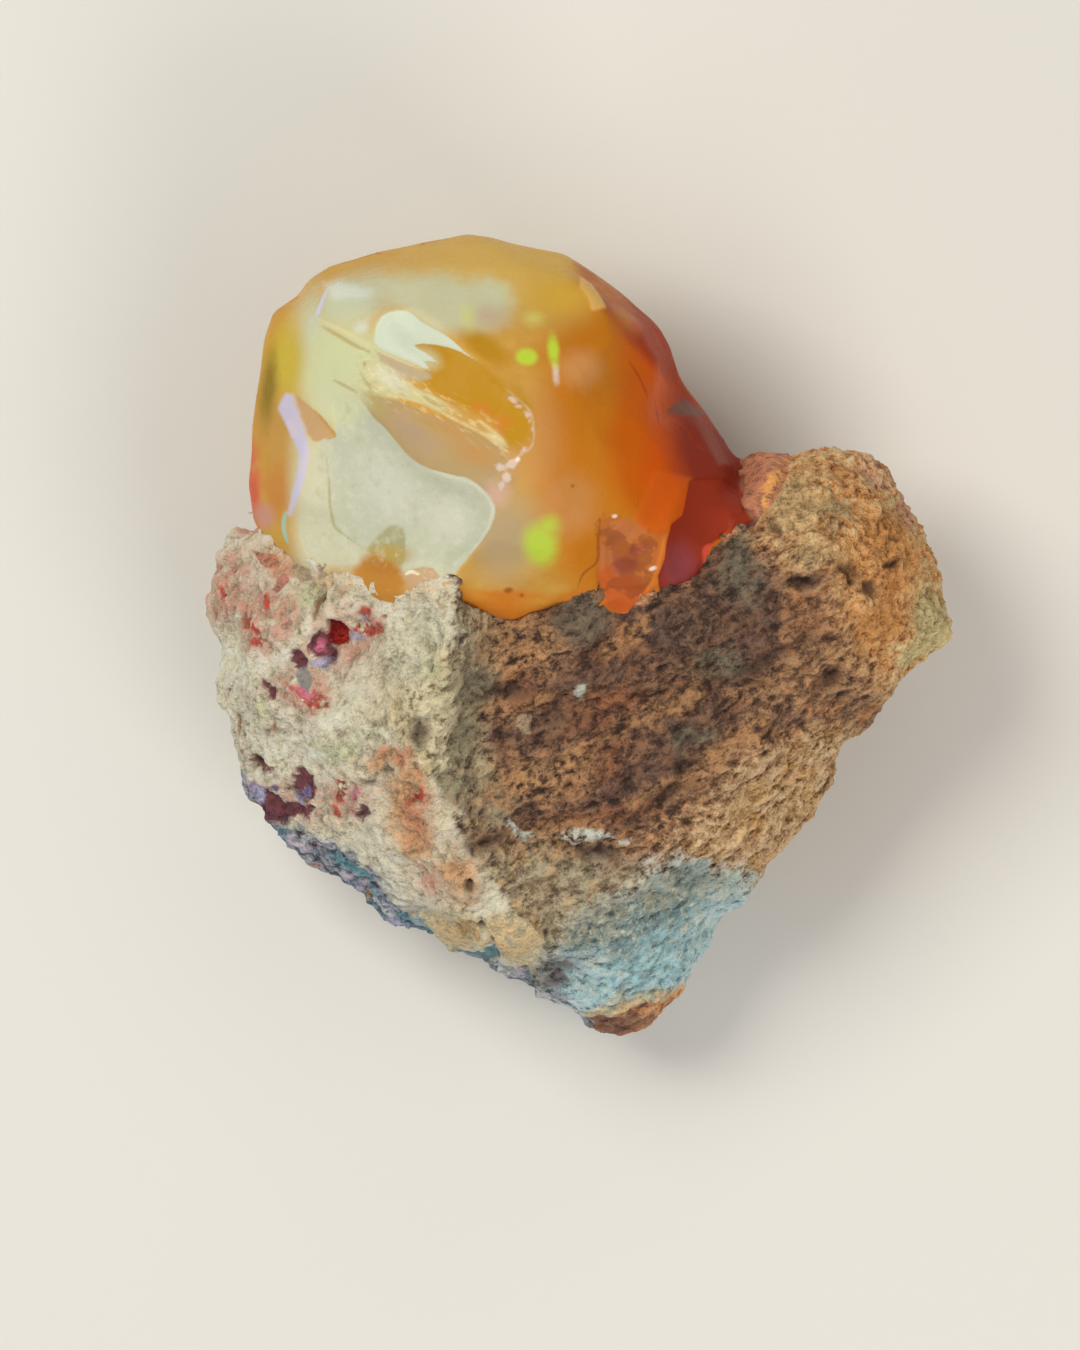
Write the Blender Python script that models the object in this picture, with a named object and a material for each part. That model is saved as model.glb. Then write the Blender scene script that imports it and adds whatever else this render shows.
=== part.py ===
"""Rough fire opal: a translucent opal nodule seated in a wedge of rhyolite matrix.

The stone lies on its broken back. +Z points up out of the show face, +Y runs from the
narrow tip of the rock to the top of the opal, and the origin is on the flat resting face.
Each body is drawn as a relief: an outline, and break lines and spots inside it, joined by
a triangulation on the front and another on the back. Then its edges are worn down, it is
roughened, and it is thinned out to flat facets. All points and sizes are in millimetres.
"""

import bpy
import bmesh
from mathutils import Vector, noise
from mathutils.geometry import delaunay_2d_cdt

mm = 0.001

# Driving dimensions.
seat_gap = 0.3  # clearance between the opal and its socket
rest_level = 0.0  # height of the resting face
rock_grain = 0.55  # spacing of the rock's surface before it is thinned out
opal_grain = 0.4
rock_wear = 3  # passes that wear the edges down
opal_wear = 2
rock_triangles = 6000
opal_triangles = 2600
same_point = 1e-5  # points closer than this are one in a triangulation

# Where the opal comes out of the rock, from the left side round to the right lobe.
seat_line = [
    (-15.2, 7.2, 12.2),
    (-13.4, 6.0, 14.8),
    (-11.6, 5.2, 16.6),
    (-9.6, 4.5, 18.2),
    (-7.8, 4.9, 19.4),
    (-6.5, 5.4, 20.0),
    (-5.2, 4.3, 18.6),
    (-3.3, 3.5, 17.4),
    (-0.9, 4.5, 17.6),
    (1.0, 4.6, 17.6),
    (2.2, 3.5, 16.8),
    (3.6, 4.6, 17.0),
    (5.9, 5.0, 16.2),
    (6.6, 6.6, 15.6),
    (7.9, 8.1, 15.2),
    (9.0, 8.6, 15.2),
    (9.9, 9.4, 14.4),
]

rock_outline = [
    (-16.7, 8.9, 8.0),
    (-18.3, 7.2, 8.5),
    (-19.0, 4.8, 8.5),
    (-18.8, 3.0, 8.5),
    (-18.2, 1.7, 8.0),
    (-18.6, 0.0, 8.0),
    (-17.8, -2.9, 7.0),
    (-16.8, -5.3, 6.0),
    (-13.8, -8.2, 5.5),
    (-13.3, -9.2, 5.2),
    (-11.6, -10.1, 5.0),
    (-9.9, -11.6, 5.0),
    (-6.5, -13.0, 5.0),
    (-3.0, -14.9, 5.0),
    (0.3, -17.1, 4.5),
    (2.0, -17.6, 4.5),
    (3.6, -17.2, 4.5),
    (5.0, -15.5, 4.5),
    (6.4, -12.5, 5.0),
    (8.2, -10.4, 5.5),
    (11.0, -6.9, 6.0),
    (12.2, -4.3, 6.5),
    (14.3, -1.6, 7.0),
    (16.4, 1.0, 7.5),
    (18.2, 2.3, 8.0),
    (18.7, 3.4, 8.0),
    (18.2, 5.3, 8.0),
    (17.6, 7.9, 8.0),
    (15.9, 10.7, 8.0),
    (14.2, 12.1, 8.0),
    (12.4, 12.8, 8.0),
    (10.6, 12.4, 8.0),
    (8.2, 9.8, 8.0),
    (2.0, 8.3, 7.5),
    (-5.0, 8.0, 7.5),
    (-12.0, 8.4, 7.5),
]

rock_front_lines = {
    "seat": seat_line,
    "left shoulder": [
        (-17.0, 6.0, 11.0),
        (-17.3, 3.8, 11.2),
        (-16.9, 1.6, 11.4),
        (-17.0, -0.4, 10.6),
        (-16.3, -3.0, 9.6),
        (-15.2, -5.4, 8.8),
        (-13.0, -7.2, 8.8),
        (-11.2, -8.9, 9.0),
        (-8.8, -10.6, 9.0),
        (-5.8, -12.0, 9.0),
        (-2.6, -13.6, 8.8),
        (0.9, -16.3, 7.2),
    ],
    "right shoulder": [
        (3.4, -16.2, 7.0),
        (4.4, -15.0, 7.6),
        (5.6, -12.4, 8.6),
        (7.6, -9.8, 10.4),
        (10.2, -6.6, 11.2),
        (11.4, -4.2, 12.0),
        (13.2, -1.4, 12.4),
        (15.4, 0.9, 12.2),
        (17.2, 3.0, 11.6),
        (17.0, 5.2, 12.0),
        (16.4, 7.4, 12.2),
        (14.8, 9.6, 12.0),
        (13.4, 10.8, 11.8),
        (11.6, 11.3, 11.6),
    ],
    "crest": [
        (-6.5, 5.4, 20.0),
        (-6.3, 3.5, 20.2),
        (-6.7, 1.5, 20.0),
        (-7.8, -0.5, 19.2),
        (-8.2, -2.5, 18.5),
        (-7.0, -5.0, 17.5),
        (-5.6, -7.5, 16.6),
        (-5.0, -9.5, 15.6),
        (-2.8, -12.0, 13.6),
    ],
    "crest foot": [
        (-4.3, 2.6, 17.2),
        (-5.0, -0.4, 16.4),
        (-5.4, -3.0, 15.8),
        (-4.2, -6.4, 15.0),
        (-3.0, -9.2, 14.2),
    ],
    "upper band": [
        (-2.6, -0.2, 16.6),
        (1.5, 0.3, 16.7),
        (5.5, 1.2, 16.8),
        (9.0, 2.4, 16.4),
    ],
    "upper band foot": [
        (-2.6, -1.2, 15.8),
        (1.5, -0.8, 15.7),
        (5.5, 0.1, 15.8),
        (9.0, 1.4, 15.6),
    ],
    "lower band": [
        (-2.8, -5.6, 15.3),
        (0.8, -6.0, 15.2),
        (4.4, -5.4, 15.1),
        (8.0, -4.0, 14.9),
    ],
    "lower band foot": [
        (-2.6, -6.6, 14.6),
        (0.8, -7.1, 14.2),
        (4.4, -6.5, 14.1),
        (8.0, -5.2, 13.9),
    ],
    "pocket rim": [
        (-13.6, 2.4, 15.0),
        (-13.0, 3.4, 15.6),
        (-11.2, 3.9, 16.6),
        (-9.8, 3.3, 17.2),
        (-10.6, 1.9, 16.6),
        (-12.4, 1.2, 15.6),
        (-13.6, 2.4, 15.0),
    ],
    "chip edge": [
        (-6.8, -9.4, 14.4),
        (-5.6, -10.8, 13.6),
        (-4.4, -12.6, 12.4),
        (-2.4, -13.2, 11.4),
    ],
    "hollow edge": [
        (-0.6, -12.0, 13.2),
        (1.0, -10.2, 13.5),
        (3.6, -9.4, 13.0),
        (6.4, -9.3, 11.6),
    ],
}

rock_front_spots = [
    (3.0, -12.5, 10.6),
    (4.6, -11.6, 9.8),
    (1.2, -14.0, 10.2),
    (0.2, 3.2, 18.0),
    (4.8, 3.6, 17.4),
    (2.6, 1.9, 16.6),
    (2.0, -3.4, 15.9),
    (6.2, -2.2, 15.6),
    (10.0, -0.5, 15.2),
    (1.0, -9.0, 13.8),
    (8.0, -7.4, 12.6),
    (9.0, 6.5, 16.2),
    (11.0, 9.2, 15.6),
    (12.0, 6.5, 17.0),
    (14.0, 4.5, 16.4),
    (15.2, 6.4, 15.2),
    (12.6, 1.8, 15.8),
    (15.6, 2.6, 14.2),
    (13.2, 8.8, 14.8),
    (-12.4, 2.6, 13.8),
    (-11.0, 2.9, 14.8),
    (-14.0, -1.5, 13.4),
    (-11.0, -1.2, 16.0),
    (-12.2, -3.9, 13.8),
    (-12.5, -5.2, 12.2),
    (-9.4, -3.8, 16.6),
    (-9.0, -7.2, 13.8),
    (-6.6, -7.6, 15.6),
    (-15.5, 5.2, 13.0),
]

# The broken back. Its resting face is drawn a little below the floor, and cut off flat there.
rock_back_lines = {
    "resting face": [
        (-10.5, 5.4, -0.6),
        (-12.0, 1.5, -0.6),
        (-9.5, -3.5, -0.6),
        (-4.5, -6.0, -0.6),
        (0.5, -9.0, -0.6),
        (3.5, -7.5, -0.6),
        (6.5, -3.5, -0.6),
        (11.0, 0.0, -0.6),
        (12.5, 4.5, -0.6),
        (8.5, 7.0, -0.6),
        (1.0, 6.2, -0.6),
        (-5.0, 6.6, -0.6),
        (-10.5, 5.4, -0.6),
    ],
    "left break": [
        (-15.5, 5.0, 4.6),
        (-15.6, 0.0, 3.6),
        (-12.6, -5.2, 3.0),
    ],
    "lower left break": [
        (-12.6, -5.2, 3.0),
        (-8.0, -8.6, 2.0),
        (-3.0, -11.2, 1.6),
        (0.5, -13.8, 2.2),
    ],
    "tip break": [(0.5, -13.8, 2.2), (4.0, -11.0, 1.4), (7.6, -6.6, 1.6)],
    "right break": [(7.6, -6.6, 1.6), (12.6, -1.4, 2.6), (15.4, 3.4, 3.4), (13.2, 8.8, 3.8)],
}

opal_outline = [
    (-14.0, 19.7, 11.0),
    (-15.3, 18.9, 11.0),
    (-15.9, 17.2, 11.0),
    (-16.0, 15.5, 11.0),
    (-16.4, 13.0, 10.8),
    (-16.8, 10.4, 10.5),
    (-16.5, 8.4, 10.0),
    (-14.5, 5.0, 9.5),
    (-10.0, 2.2, 9.0),
    (-4.0, 1.0, 9.0),
    (3.0, 1.5, 9.0),
    (7.0, 4.0, 9.0),
    (9.6, 7.0, 9.0),
    (11.0, 9.6, 9.5),
    (10.8, 12.1, 9.5),
    (8.6, 12.1, 9.5),
    (8.1, 11.3, 9.5),
    (7.4, 12.3, 9.5),
    (5.7, 14.5, 9.5),
    (4.9, 15.8, 10.0),
    (4.7, 16.9, 10.0),
    (3.9, 18.5, 10.0),
    (2.6, 19.7, 10.0),
    (-0.8, 21.7, 10.0),
    (-3.0, 22.1, 10.0),
    (-5.6, 22.8, 10.0),
    (-8.0, 22.6, 10.0),
    (-10.4, 22.1, 10.2),
    (-12.4, 21.4, 10.5),
    (-13.6, 20.5, 11.0),
]

opal_front_lines = {
    "seat": seat_line,
    "left ridge": [
        (-13.6, 19.0, 14.0),
        (-13.4, 17.5, 16.2),
        (-14.3, 14.8, 15.8),
        (-13.6, 12.5, 16.8),
        (-13.9, 9.5, 16.4),
        (-14.3, 7.9, 14.6),
    ],
    "great scar": [
        (-11.0, 14.5, 18.9),
        (-9.8, 13.4, 19.6),
        (-7.6, 11.0, 20.6),
        (-5.9, 10.1, 20.9),
        (-4.4, 9.4, 21.0),
        (-4.6, 7.6, 20.8),
        (-6.3, 6.3, 20.4),
    ],
    "great scar foot": [
        (-11.4, 13.5, 17.9),
        (-10.2, 12.5, 18.5),
        (-8.2, 10.2, 19.4),
        (-6.4, 9.2, 19.8),
        (-5.3, 8.7, 19.9),
        (-5.4, 7.7, 19.8),
        (-6.8, 6.6, 19.4),
    ],
    "upper hackle": [(-13.0, 18.4, 16.4), (-9.0, 16.9, 19.2), (-6.6, 15.8, 20.4)],
    "lower hackle": [(-12.4, 17.0, 17.2), (-7.6, 14.7, 20.2), (-4.0, 12.3, 21.5)],
    "small scar": [
        (-10.0, 18.9, 18.2),
        (-8.3, 18.8, 18.9),
        (-6.2, 17.5, 20.3),
        (-5.0, 16.3, 21.0),
    ],
    "split step": [
        (-3.6, 14.5, 21.9),
        (-2.6, 13.5, 22.1),
        (-2.6, 12.0, 22.0),
        (-3.9, 10.6, 21.6),
    ],
    "brow": [(-12.0, 20.2, 15.0), (-7.0, 21.3, 14.8), (-3.0, 21.0, 15.4)],
    "ledge": [(-0.6, 20.6, 15.0), (0.3, 20.0, 15.8), (1.1, 19.0, 17.2), (1.7, 17.5, 18.4)],
    "dark step": [(4.3, 5.8, 17.3), (4.5, 8.0, 18.2), (5.2, 10.2, 17.2)],
    "dark step foot": [(5.0, 5.9, 16.3), (5.2, 8.0, 17.0), (5.9, 9.9, 16.2)],
}

opal_front_spots = [
    (3.0, 17.8, 14.8),
    (3.8, 16.4, 14.4),
    (3.0, 13.0, 18.2),
    (1.0, 12.0, 20.4),
    (-1.0, 9.5, 21.0),
    (-1.5, 6.5, 20.0),
    (1.0, 8.3, 19.6),
    (3.2, 7.7, 18.6),
    (5.6, 13.2, 13.6),
    (6.8, 11.2, 14.0),
    (6.8, 9.2, 15.0),
    (9.6, 10.8, 13.4),
    (-2.0, 18.0, 19.4),
    (-0.5, 15.0, 20.8),
    (-8.5, 18.0, 18.1),
    (-8.8, 8.2, 18.4),
    (-11.2, 8.6, 17.2),
    (-12.3, 11.6, 17.0),
]

opal_back_spots = [
    (-12.5, 18.0, 5.6),
    (-8.0, 20.0, 5.4),
    (-2.0, 19.5, 5.0),
    (2.0, 17.0, 5.0),
    (4.5, 12.5, 5.2),
    (7.0, 9.5, 5.6),
    (-14.2, 12.0, 6.0),
    (-13.5, 8.0, 6.0),
    (-9.0, 14.0, 2.8),
    (-3.0, 14.5, 2.2),
    (1.5, 12.0, 2.8),
    (-8.0, 8.0, 3.6),
    (-2.0, 6.5, 4.0),
    (3.0, 6.5, 4.6),
]

# Noise layers: the size of a lump and how far it stands out, in millimetres.
rock_lumps = [(5.0, 0.55), (2.2, 0.45), (1.1, 0.3)]
opal_lumps = [(6.0, 0.35), (2.5, 0.12)]


def clear_scene():
    for obj in list(bpy.data.objects):
        bpy.data.objects.remove(obj)


def finish_material(name, colour, roughness):
    material = bpy.data.materials.new(name)
    material.use_nodes = True
    shader = material.node_tree.nodes["Principled BSDF"]
    shader.inputs["Base Color"].default_value = (*colour, 1.0)
    shader.inputs["Roughness"].default_value = roughness
    return material


def add_relief(bm, rim, outline, lines, spots, facing_up):
    """Fills the rim's loop with triangles that pass through every line and spot."""
    points = list(outline)
    edges = []
    for line in lines.values():
        numbers = []
        for point in line:
            if point not in points:
                points.append(point)
            numbers.append(points.index(point))
        edges += list(zip(numbers, numbers[1:]))
    points += spots
    flat = [Vector(point[:2]) for point in points]
    loop = list(range(len(outline)))
    inside_only = 1
    found = delaunay_2d_cdt(flat, edges, [loop], inside_only, same_point)
    triangles, sources = found[2], found[3]
    corners = []
    for near in sources:
        number = near[0]
        if number < len(outline):
            corners.append(rim[number])
        else:
            corners.append(bm.verts.new(Vector(points[number]) * mm))
    for triangle in triangles:
        order = triangle if facing_up else reversed(triangle)
        bm.faces.new([corners[i] for i in order])


def relief_body(name, outline, front, back):
    """A closed body from one outline and the reliefs of its front and its back."""
    bm = bmesh.new()
    rim = [bm.verts.new(Vector(point) * mm) for point in outline]
    add_relief(bm, rim, outline, *front, facing_up=True)
    add_relief(bm, rim, outline, *back, facing_up=False)
    mesh = bpy.data.meshes.new(name)
    bm.to_mesh(mesh)
    bm.free()
    body = bpy.data.objects.new(name, mesh)
    bpy.context.scene.collection.objects.link(body)
    return body


def bake(body):
    """Replaces the body's mesh by the result of its modifiers."""
    bpy.context.view_layer.update()
    evaluated = body.evaluated_get(bpy.context.evaluated_depsgraph_get())
    mesh = bpy.data.meshes.new_from_object(evaluated)
    body.modifiers.clear()
    body.data = mesh


def wear_down(body, grain, passes):
    """Evens out the triangles and wears the edges down."""
    remesh = body.modifiers.new("even", "REMESH")
    remesh.mode = "VOXEL"
    remesh.voxel_size = grain * mm
    smooth = body.modifiers.new("wear", "SMOOTH")
    smooth.iterations = passes
    bake(body)


def roughen(body, lumps):
    """Lifts and sinks the surface along its normals by layers of noise."""
    mesh = body.data
    moves = []
    for vertex in mesh.vertices:
        rise = 0.0
        for size, height in lumps:
            rise += height * noise.noise(vertex.co / (size * mm))
        moves.append(vertex.normal * rise * mm)
    for vertex, move in zip(mesh.vertices, moves):
        vertex.co += move


def thin_out(body, triangles):
    """Brings the body down to about this many triangles."""
    body.data.calc_loop_triangles()
    decimate = body.modifiers.new("thin", "DECIMATE")
    decimate.ratio = triangles / len(body.data.loop_triangles)
    decimate.use_collapse_triangulate = True
    bake(body)


def cut_flat(body, level):
    """Takes away what lies below the level and closes the cut."""
    bm = bmesh.new()
    bm.from_mesh(body.data)
    everything = bm.verts[:] + bm.edges[:] + bm.faces[:]
    cut = bmesh.ops.bisect_plane(
        bm,
        geom=everything,
        plane_co=(0, 0, level * mm),
        plane_no=(0, 0, 1),
        clear_inner=True,
    )
    rim = [part for part in cut["geom_cut"] if isinstance(part, bmesh.types.BMEdge)]
    bmesh.ops.holes_fill(bm, edges=rim, sides=0)
    bm.to_mesh(body.data)
    bm.free()


def make_opal():
    opal = relief_body(
        "opal",
        opal_outline,
        (opal_front_lines, opal_front_spots),
        ({}, opal_back_spots),
    )
    wear_down(opal, opal_grain, opal_wear)
    roughen(opal, opal_lumps)
    thin_out(opal, opal_triangles)
    opal.data.shade_smooth()
    opal.data.materials.append(finish_material("fire opal", (0.78, 0.36, 0.06), 0.12))
    return opal


def make_socket_cutter(opal):
    """The opal, grown by the seat's gap: it leaves the socket in the rock."""
    cutter = bpy.data.objects.new("socket cutter", opal.data.copy())
    bpy.context.scene.collection.objects.link(cutter)
    grow = cutter.modifiers.new("grow", "DISPLACE")
    grow.mid_level = 0.0
    grow.strength = seat_gap * mm
    cutter.hide_render = True
    cutter.display_type = "WIRE"
    return cutter


def make_matrix(cutter):
    matrix = relief_body(
        "matrix",
        rock_outline,
        (rock_front_lines, rock_front_spots),
        (rock_back_lines, []),
    )
    wear_down(matrix, rock_grain, rock_wear)
    roughen(matrix, rock_lumps)
    thin_out(matrix, rock_triangles)
    cut_flat(matrix, rest_level)
    socket = matrix.modifiers.new("socket", "BOOLEAN")
    socket.operation = "DIFFERENCE"
    socket.object = cutter
    bake(matrix)
    matrix.data.materials.append(finish_material("rhyolite", (0.42, 0.27, 0.15), 0.9))
    return matrix


clear_scene()
opal_body = make_opal()
make_matrix(make_socket_cutter(opal_body))
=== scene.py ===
import itertools
import math

import bmesh
import bpy
import numpy as np
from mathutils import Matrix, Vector, noise
from mathutils.bvhtree import BVHTree


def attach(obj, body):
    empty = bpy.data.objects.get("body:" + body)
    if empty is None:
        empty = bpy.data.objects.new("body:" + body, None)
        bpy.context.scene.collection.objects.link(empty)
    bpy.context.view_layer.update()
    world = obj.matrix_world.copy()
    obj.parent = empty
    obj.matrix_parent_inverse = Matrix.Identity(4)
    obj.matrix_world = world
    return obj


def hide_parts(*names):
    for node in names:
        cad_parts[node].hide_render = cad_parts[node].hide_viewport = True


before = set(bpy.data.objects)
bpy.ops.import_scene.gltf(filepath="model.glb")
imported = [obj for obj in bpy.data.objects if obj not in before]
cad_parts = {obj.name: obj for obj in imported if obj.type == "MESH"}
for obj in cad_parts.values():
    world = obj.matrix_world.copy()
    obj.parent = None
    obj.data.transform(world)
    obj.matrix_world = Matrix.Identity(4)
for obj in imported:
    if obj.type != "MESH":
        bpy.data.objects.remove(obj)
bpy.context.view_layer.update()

mm = 0.001  # every size below is in millimetres


def say(text):
    print("opal:", text, flush=True)


# the camera looks straight down on the stone's show face
shot = dict(
    lens=530,
    sensor=36,
    longSide=67.5,  # of the stone's plane, along the picture's long side
    middle=(-2.0, 0.75),
    plane=9.5,  # height where the stone's outline lies
)

studio = dict(
    floorSize=900,
    floorColour=(220, 220, 217),
    worldColour=(240, 240, 239),
    worldLight=0.35,
    lamps=dict(
        key=dict(at=(-120, 90, 220), size=(120, 120), colour=(255, 248, 234), watts=0.41),
        front=dict(at=(100, -150, 170), size=(140, 100), colour=(255, 246, 236), watts=0.24),
        right=dict(at=(150, 10, 130), size=(120, 120), colour=(255, 240, 222), watts=0.045),
        side=dict(at=(-170, -90, 90), size=(60, 120), colour=(228, 236, 255), watts=0.05),
        back=dict(at=(40, 190, 150), size=(140, 60), colour=(255, 248, 240), watts=0.03),
    ),
)


def srgb(colour):
    straight = []
    for channel in colour:
        value = channel / 255
        straight.append(value / 12.92 if value <= 0.04045 else ((value + 0.055) / 1.055) ** 2.4)
    return (*straight, 1.0)


def addObject(name, data):
    made = bpy.data.objects.new(name, data)
    bpy.context.scene.collection.objects.link(made)
    return made


def addCamera():
    data = bpy.data.cameras.new("camera")
    data.lens = shot["lens"]
    data.sensor_width = shot["sensor"]
    away = shot["lens"] / shot["sensor"] * shot["longSide"]
    camera = addObject("camera", data)
    camera.location = Vector((*shot["middle"], shot["plane"] + away)) * mm
    data.clip_start = 0.1
    data.clip_end = 10
    bpy.context.scene.camera = camera


def addLamp(name, lamp):
    data = bpy.data.lights.new(name, "AREA")
    data.shape = "RECTANGLE"
    data.size = lamp["size"][0] * mm
    data.size_y = lamp["size"][1] * mm
    data.color = srgb(lamp["colour"])[:3]
    data.energy = lamp["watts"]
    made = addObject(name, data)
    made.location = Vector(lamp["at"]) * mm
    aim = Vector((*shot["middle"], shot["plane"])) * mm - made.location
    made.rotation_euler = aim.to_track_quat("-Z", "Y").to_euler()


def addStudio():
    half = studio["floorSize"] / 2 * mm
    mesh = bpy.data.meshes.new("floor")
    corners = [(-half, -half, 0), (half, -half, 0), (half, half, 0), (-half, half, 0)]
    mesh.from_pydata(corners, [], [(0, 1, 2, 3)])
    floor = addObject("floor", mesh)
    paper = bpy.data.materials.new("floor")
    paper.use_nodes = True
    shader = paper.node_tree.nodes["Principled BSDF"]
    shader.inputs["Base Color"].default_value = srgb(studio["floorColour"])
    shader.inputs["Roughness"].default_value = 0.8
    mesh.materials.append(paper)
    for name, lamp in studio["lamps"].items():
        addLamp(name, lamp)
    world = bpy.data.worlds.new("studio")
    world.use_nodes = True
    sky = world.node_tree.nodes["Background"]
    sky.inputs["Color"].default_value = srgb(studio["worldColour"])
    sky.inputs["Strength"].default_value = studio["worldLight"]
    bpy.context.scene.world = world
    bpy.context.scene.view_settings.view_transform = "Standard"


class Wire:
    # a node's socket, which takes part in sums as a number would
    def __init__(self, socket):
        self.socket = socket

    def node(self, kind, settings, sockets, out=0):
        made = self.socket.id_data.nodes.new(kind)
        for name, value in settings.items():
            if name != "stops":
                setattr(made, name, value)
                continue
            stops = made.color_ramp.elements
            stops.remove(stops[1])
            stops[0].position, stops[0].color = value[0]
            for place, colour in value[1:]:
                stops.new(place).color = colour
        for name, value in sockets.items():
            if isinstance(value, Wire):
                self.socket.id_data.links.new(value.socket, made.inputs[name])
            else:
                made.inputs[name].default_value = value
        return Wire(made.outputs[out])

    def maths(self, operation, first, second=0.0):
        return self.node("ShaderNodeMath", {"operation": operation}, {0: first, 1: second})

    def __add__(self, other):
        return self.maths("ADD", self, other)

    def __sub__(self, other):
        return self.maths("SUBTRACT", self, other)

    def __rsub__(self, other):
        return self.maths("SUBTRACT", other, self)

    def __mul__(self, other):
        return self.maths("MULTIPLY", self, other)

    def __neg__(self):
        return self * -1

    def __abs__(self):
        return self.maths("ABSOLUTE", self)

    __radd__ = __add__
    __rmul__ = __mul__

    def soften(self, low, high, most=1.0):  # 0 below low, the most above high
        limits = {"Value": self, "From Min": low, "From Max": high, "To Max": most}
        return self.node("ShaderNodeMapRange", {"interpolation_type": "SMOOTHSTEP"}, limits)

    def covers(self, mark, waver):  # share of the colour a mark gives, its edge wavering
        field = waver * mark["ragged"] + self
        return field.soften(-mark["edge"], mark["edge"], mark.get("share", 1.0))

    def mixed(self, share, first, second, way="MIX"):
        settings = {"data_type": "RGBA", "blend_type": way}
        return self.node("ShaderNodeMix", settings, {0: share, 6: first, 7: second}, 2)

    def mix(self, first, second, way="MIX"):  # this wire is the factor
        return self.mixed(self, first, second, way)

    def darkened(self, share):  # this share of the colour
        return self.mixed(share, srgb((0, 0, 0)), self)

    def grain(self, size, detail=2.0, rough=0.55):  # noise round 0, lumps of this size
        sockets = {"Vector": self, "Scale": 1 / size, "Detail": detail, "Roughness": rough}
        return self.node("ShaderNodeTexNoise", {}, sockets) - 0.5

    def vector(self, operation, other):
        return self.node("ShaderNodeVectorMath", {"operation": operation}, {0: self, 1: other})

    def swirl(self, size, reach):  # the same place, pulled about by up to this reach
        sockets = {"Vector": self, "Scale": 1 / size, "Detail": 2.0}
        pull = self.node("ShaderNodeTexNoise", {}, sockets, 1).vector("SUBTRACT", (0.5,) * 3)
        return self.vector("ADD", pull.vector("MULTIPLY", (2 * reach,) * 3))

    def turned(self, degrees, stretch):  # the first axis runs along this slope, drawn out
        sockets = {"Vector": self, "Rotation": (0, 0, math.radians(degrees)), "Scale": (stretch, 1, 1)}
        return self.node("ShaderNodeMapping", {"vector_type": "TEXTURE"}, sockets)

    def stored(self, name):  # a field that the mesh carries
        return self.node("ShaderNodeAttribute", {"attribute_name": name}, {}, "Fac")

    def ramp(self, stops):
        return self.node("ShaderNodeValToRGB", {"stops": stops}, {"Fac": self})

    def bump(self, depth):
        sockets = {"Height": self, "Distance": depth * mm, "Strength": 1.0}
        return self.node("ShaderNodeBump", {}, sockets)


def newMaterial(name):
    material = bpy.data.materials.new(name)
    material.use_nodes = True
    tree = material.node_tree
    here = Wire(tree.nodes.new("ShaderNodeTexCoord").outputs["Object"])
    place = here.vector("MULTIPLY", (1 / mm,) * 3)
    return material, place, tree.nodes["Principled BSDF"]


def plug(shader, sockets):
    for name, value in sockets.items():
        if isinstance(value, Wire):
            value.socket.id_data.links.new(value.socket, shader.inputs[name])
        else:
            shader.inputs[name].default_value = value


def tinted(colour, light):  # the colour made lighter or darker, as far as its hue allows
    share = min(light, 255 / max(colour))
    return srgb([channel * share for channel in colour])


# how marks are drawn on a surface
drawing = dict(
    far=-5.0,  # what a field says far outside its mark
    under=0.9,  # how deep inside an outline counts at the rim, fading below it
    fade=0.35,
    above=2,  # over the rim, where a point of a mark misses the stone
    deep=2.5,  # a spot's reach into the stone, times its wider half
    showing=0.05,  # a face that looks up at least this much is made finer
)


def smoothLine(points, steps=6, closed=False):  # a curve through the points
    given = np.array(points, float)
    count = len(given)
    drawn = []
    for i in range(count if closed else count - 1):
        around = [i + k for k in (-1, 0, 1, 2)]
        if closed:
            around = [k % count for k in around]
        a, b, c, d = (given[min(max(k, 0), count - 1)] for k in around)
        for t in np.arange(steps) / steps:
            sway = 2 * a - 5 * b + 4 * c - d + (3 * b - a - 3 * c + d) * t
            drawn.append(0.5 * (2 * b + (c - a) * t + sway * t**2))
    if not closed:
        drawn.append(given[-1])
    return np.array(drawn)


def distanceTo(points, line):  # to a line of straight spans, and how far along it
    best = np.full(len(points), 1e9)
    along = np.zeros(len(points))
    for number, (a, b) in enumerate(zip(line[:-1], line[1:])):
        span = b - a
        t = np.clip((points - a) @ span / max(span @ span, 1e-9), 0, 1)
        away = np.linalg.norm(points - a - t[:, None] * span, axis=1)
        along = np.where(away < best, (number + t) / (len(line) - 1), along)
        best = np.minimum(best, away)
    return best, along


def patch(colour, edge, ragged, share=1, **more):  # how wide and ragged its edge is, how much it hides
    return dict(colour=colour, edge=edge, ragged=ragged, share=share, **more)


def inside(flat, outline, curved=False):  # distance in from the outline, negative outside
    ring = smoothLine(outline, 4, True) if curved else np.array(outline, float)
    ring = np.vstack([ring, ring[:1]])
    within = np.zeros(len(flat), bool)
    for (ax, ay), (bx, by) in zip(ring[:-1], ring[1:]):
        if ay == by:
            continue
        crosses = (ay > flat[:, 1]) != (by > flat[:, 1])
        within ^= crosses & (flat[:, 0] < (bx - ax) * (flat[:, 1] - ay) / (by - ay) + ax)
    away = distanceTo(flat, ring)[0]
    return np.where(within, away, -away)


def step(values, low, high):
    t = np.clip((values - low) / (high - low), 0, 1)
    return t * t * (3 - 2 * t)


def crests(p):  # round 0, with thin crests and wide hollows
    return 0.8 - min(1.8, 4 * abs(noise.noise(p)))


def crumbs(p):  # round grains with creases between them
    near, next_ = noise.voronoi(p)[0][:2]
    return min(1.0, 1.6 * (next_ - near)) - 0.45


def rough(p):
    return 1.4 * noise.fractal(p, 0.7, 2.0, 3)


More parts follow.
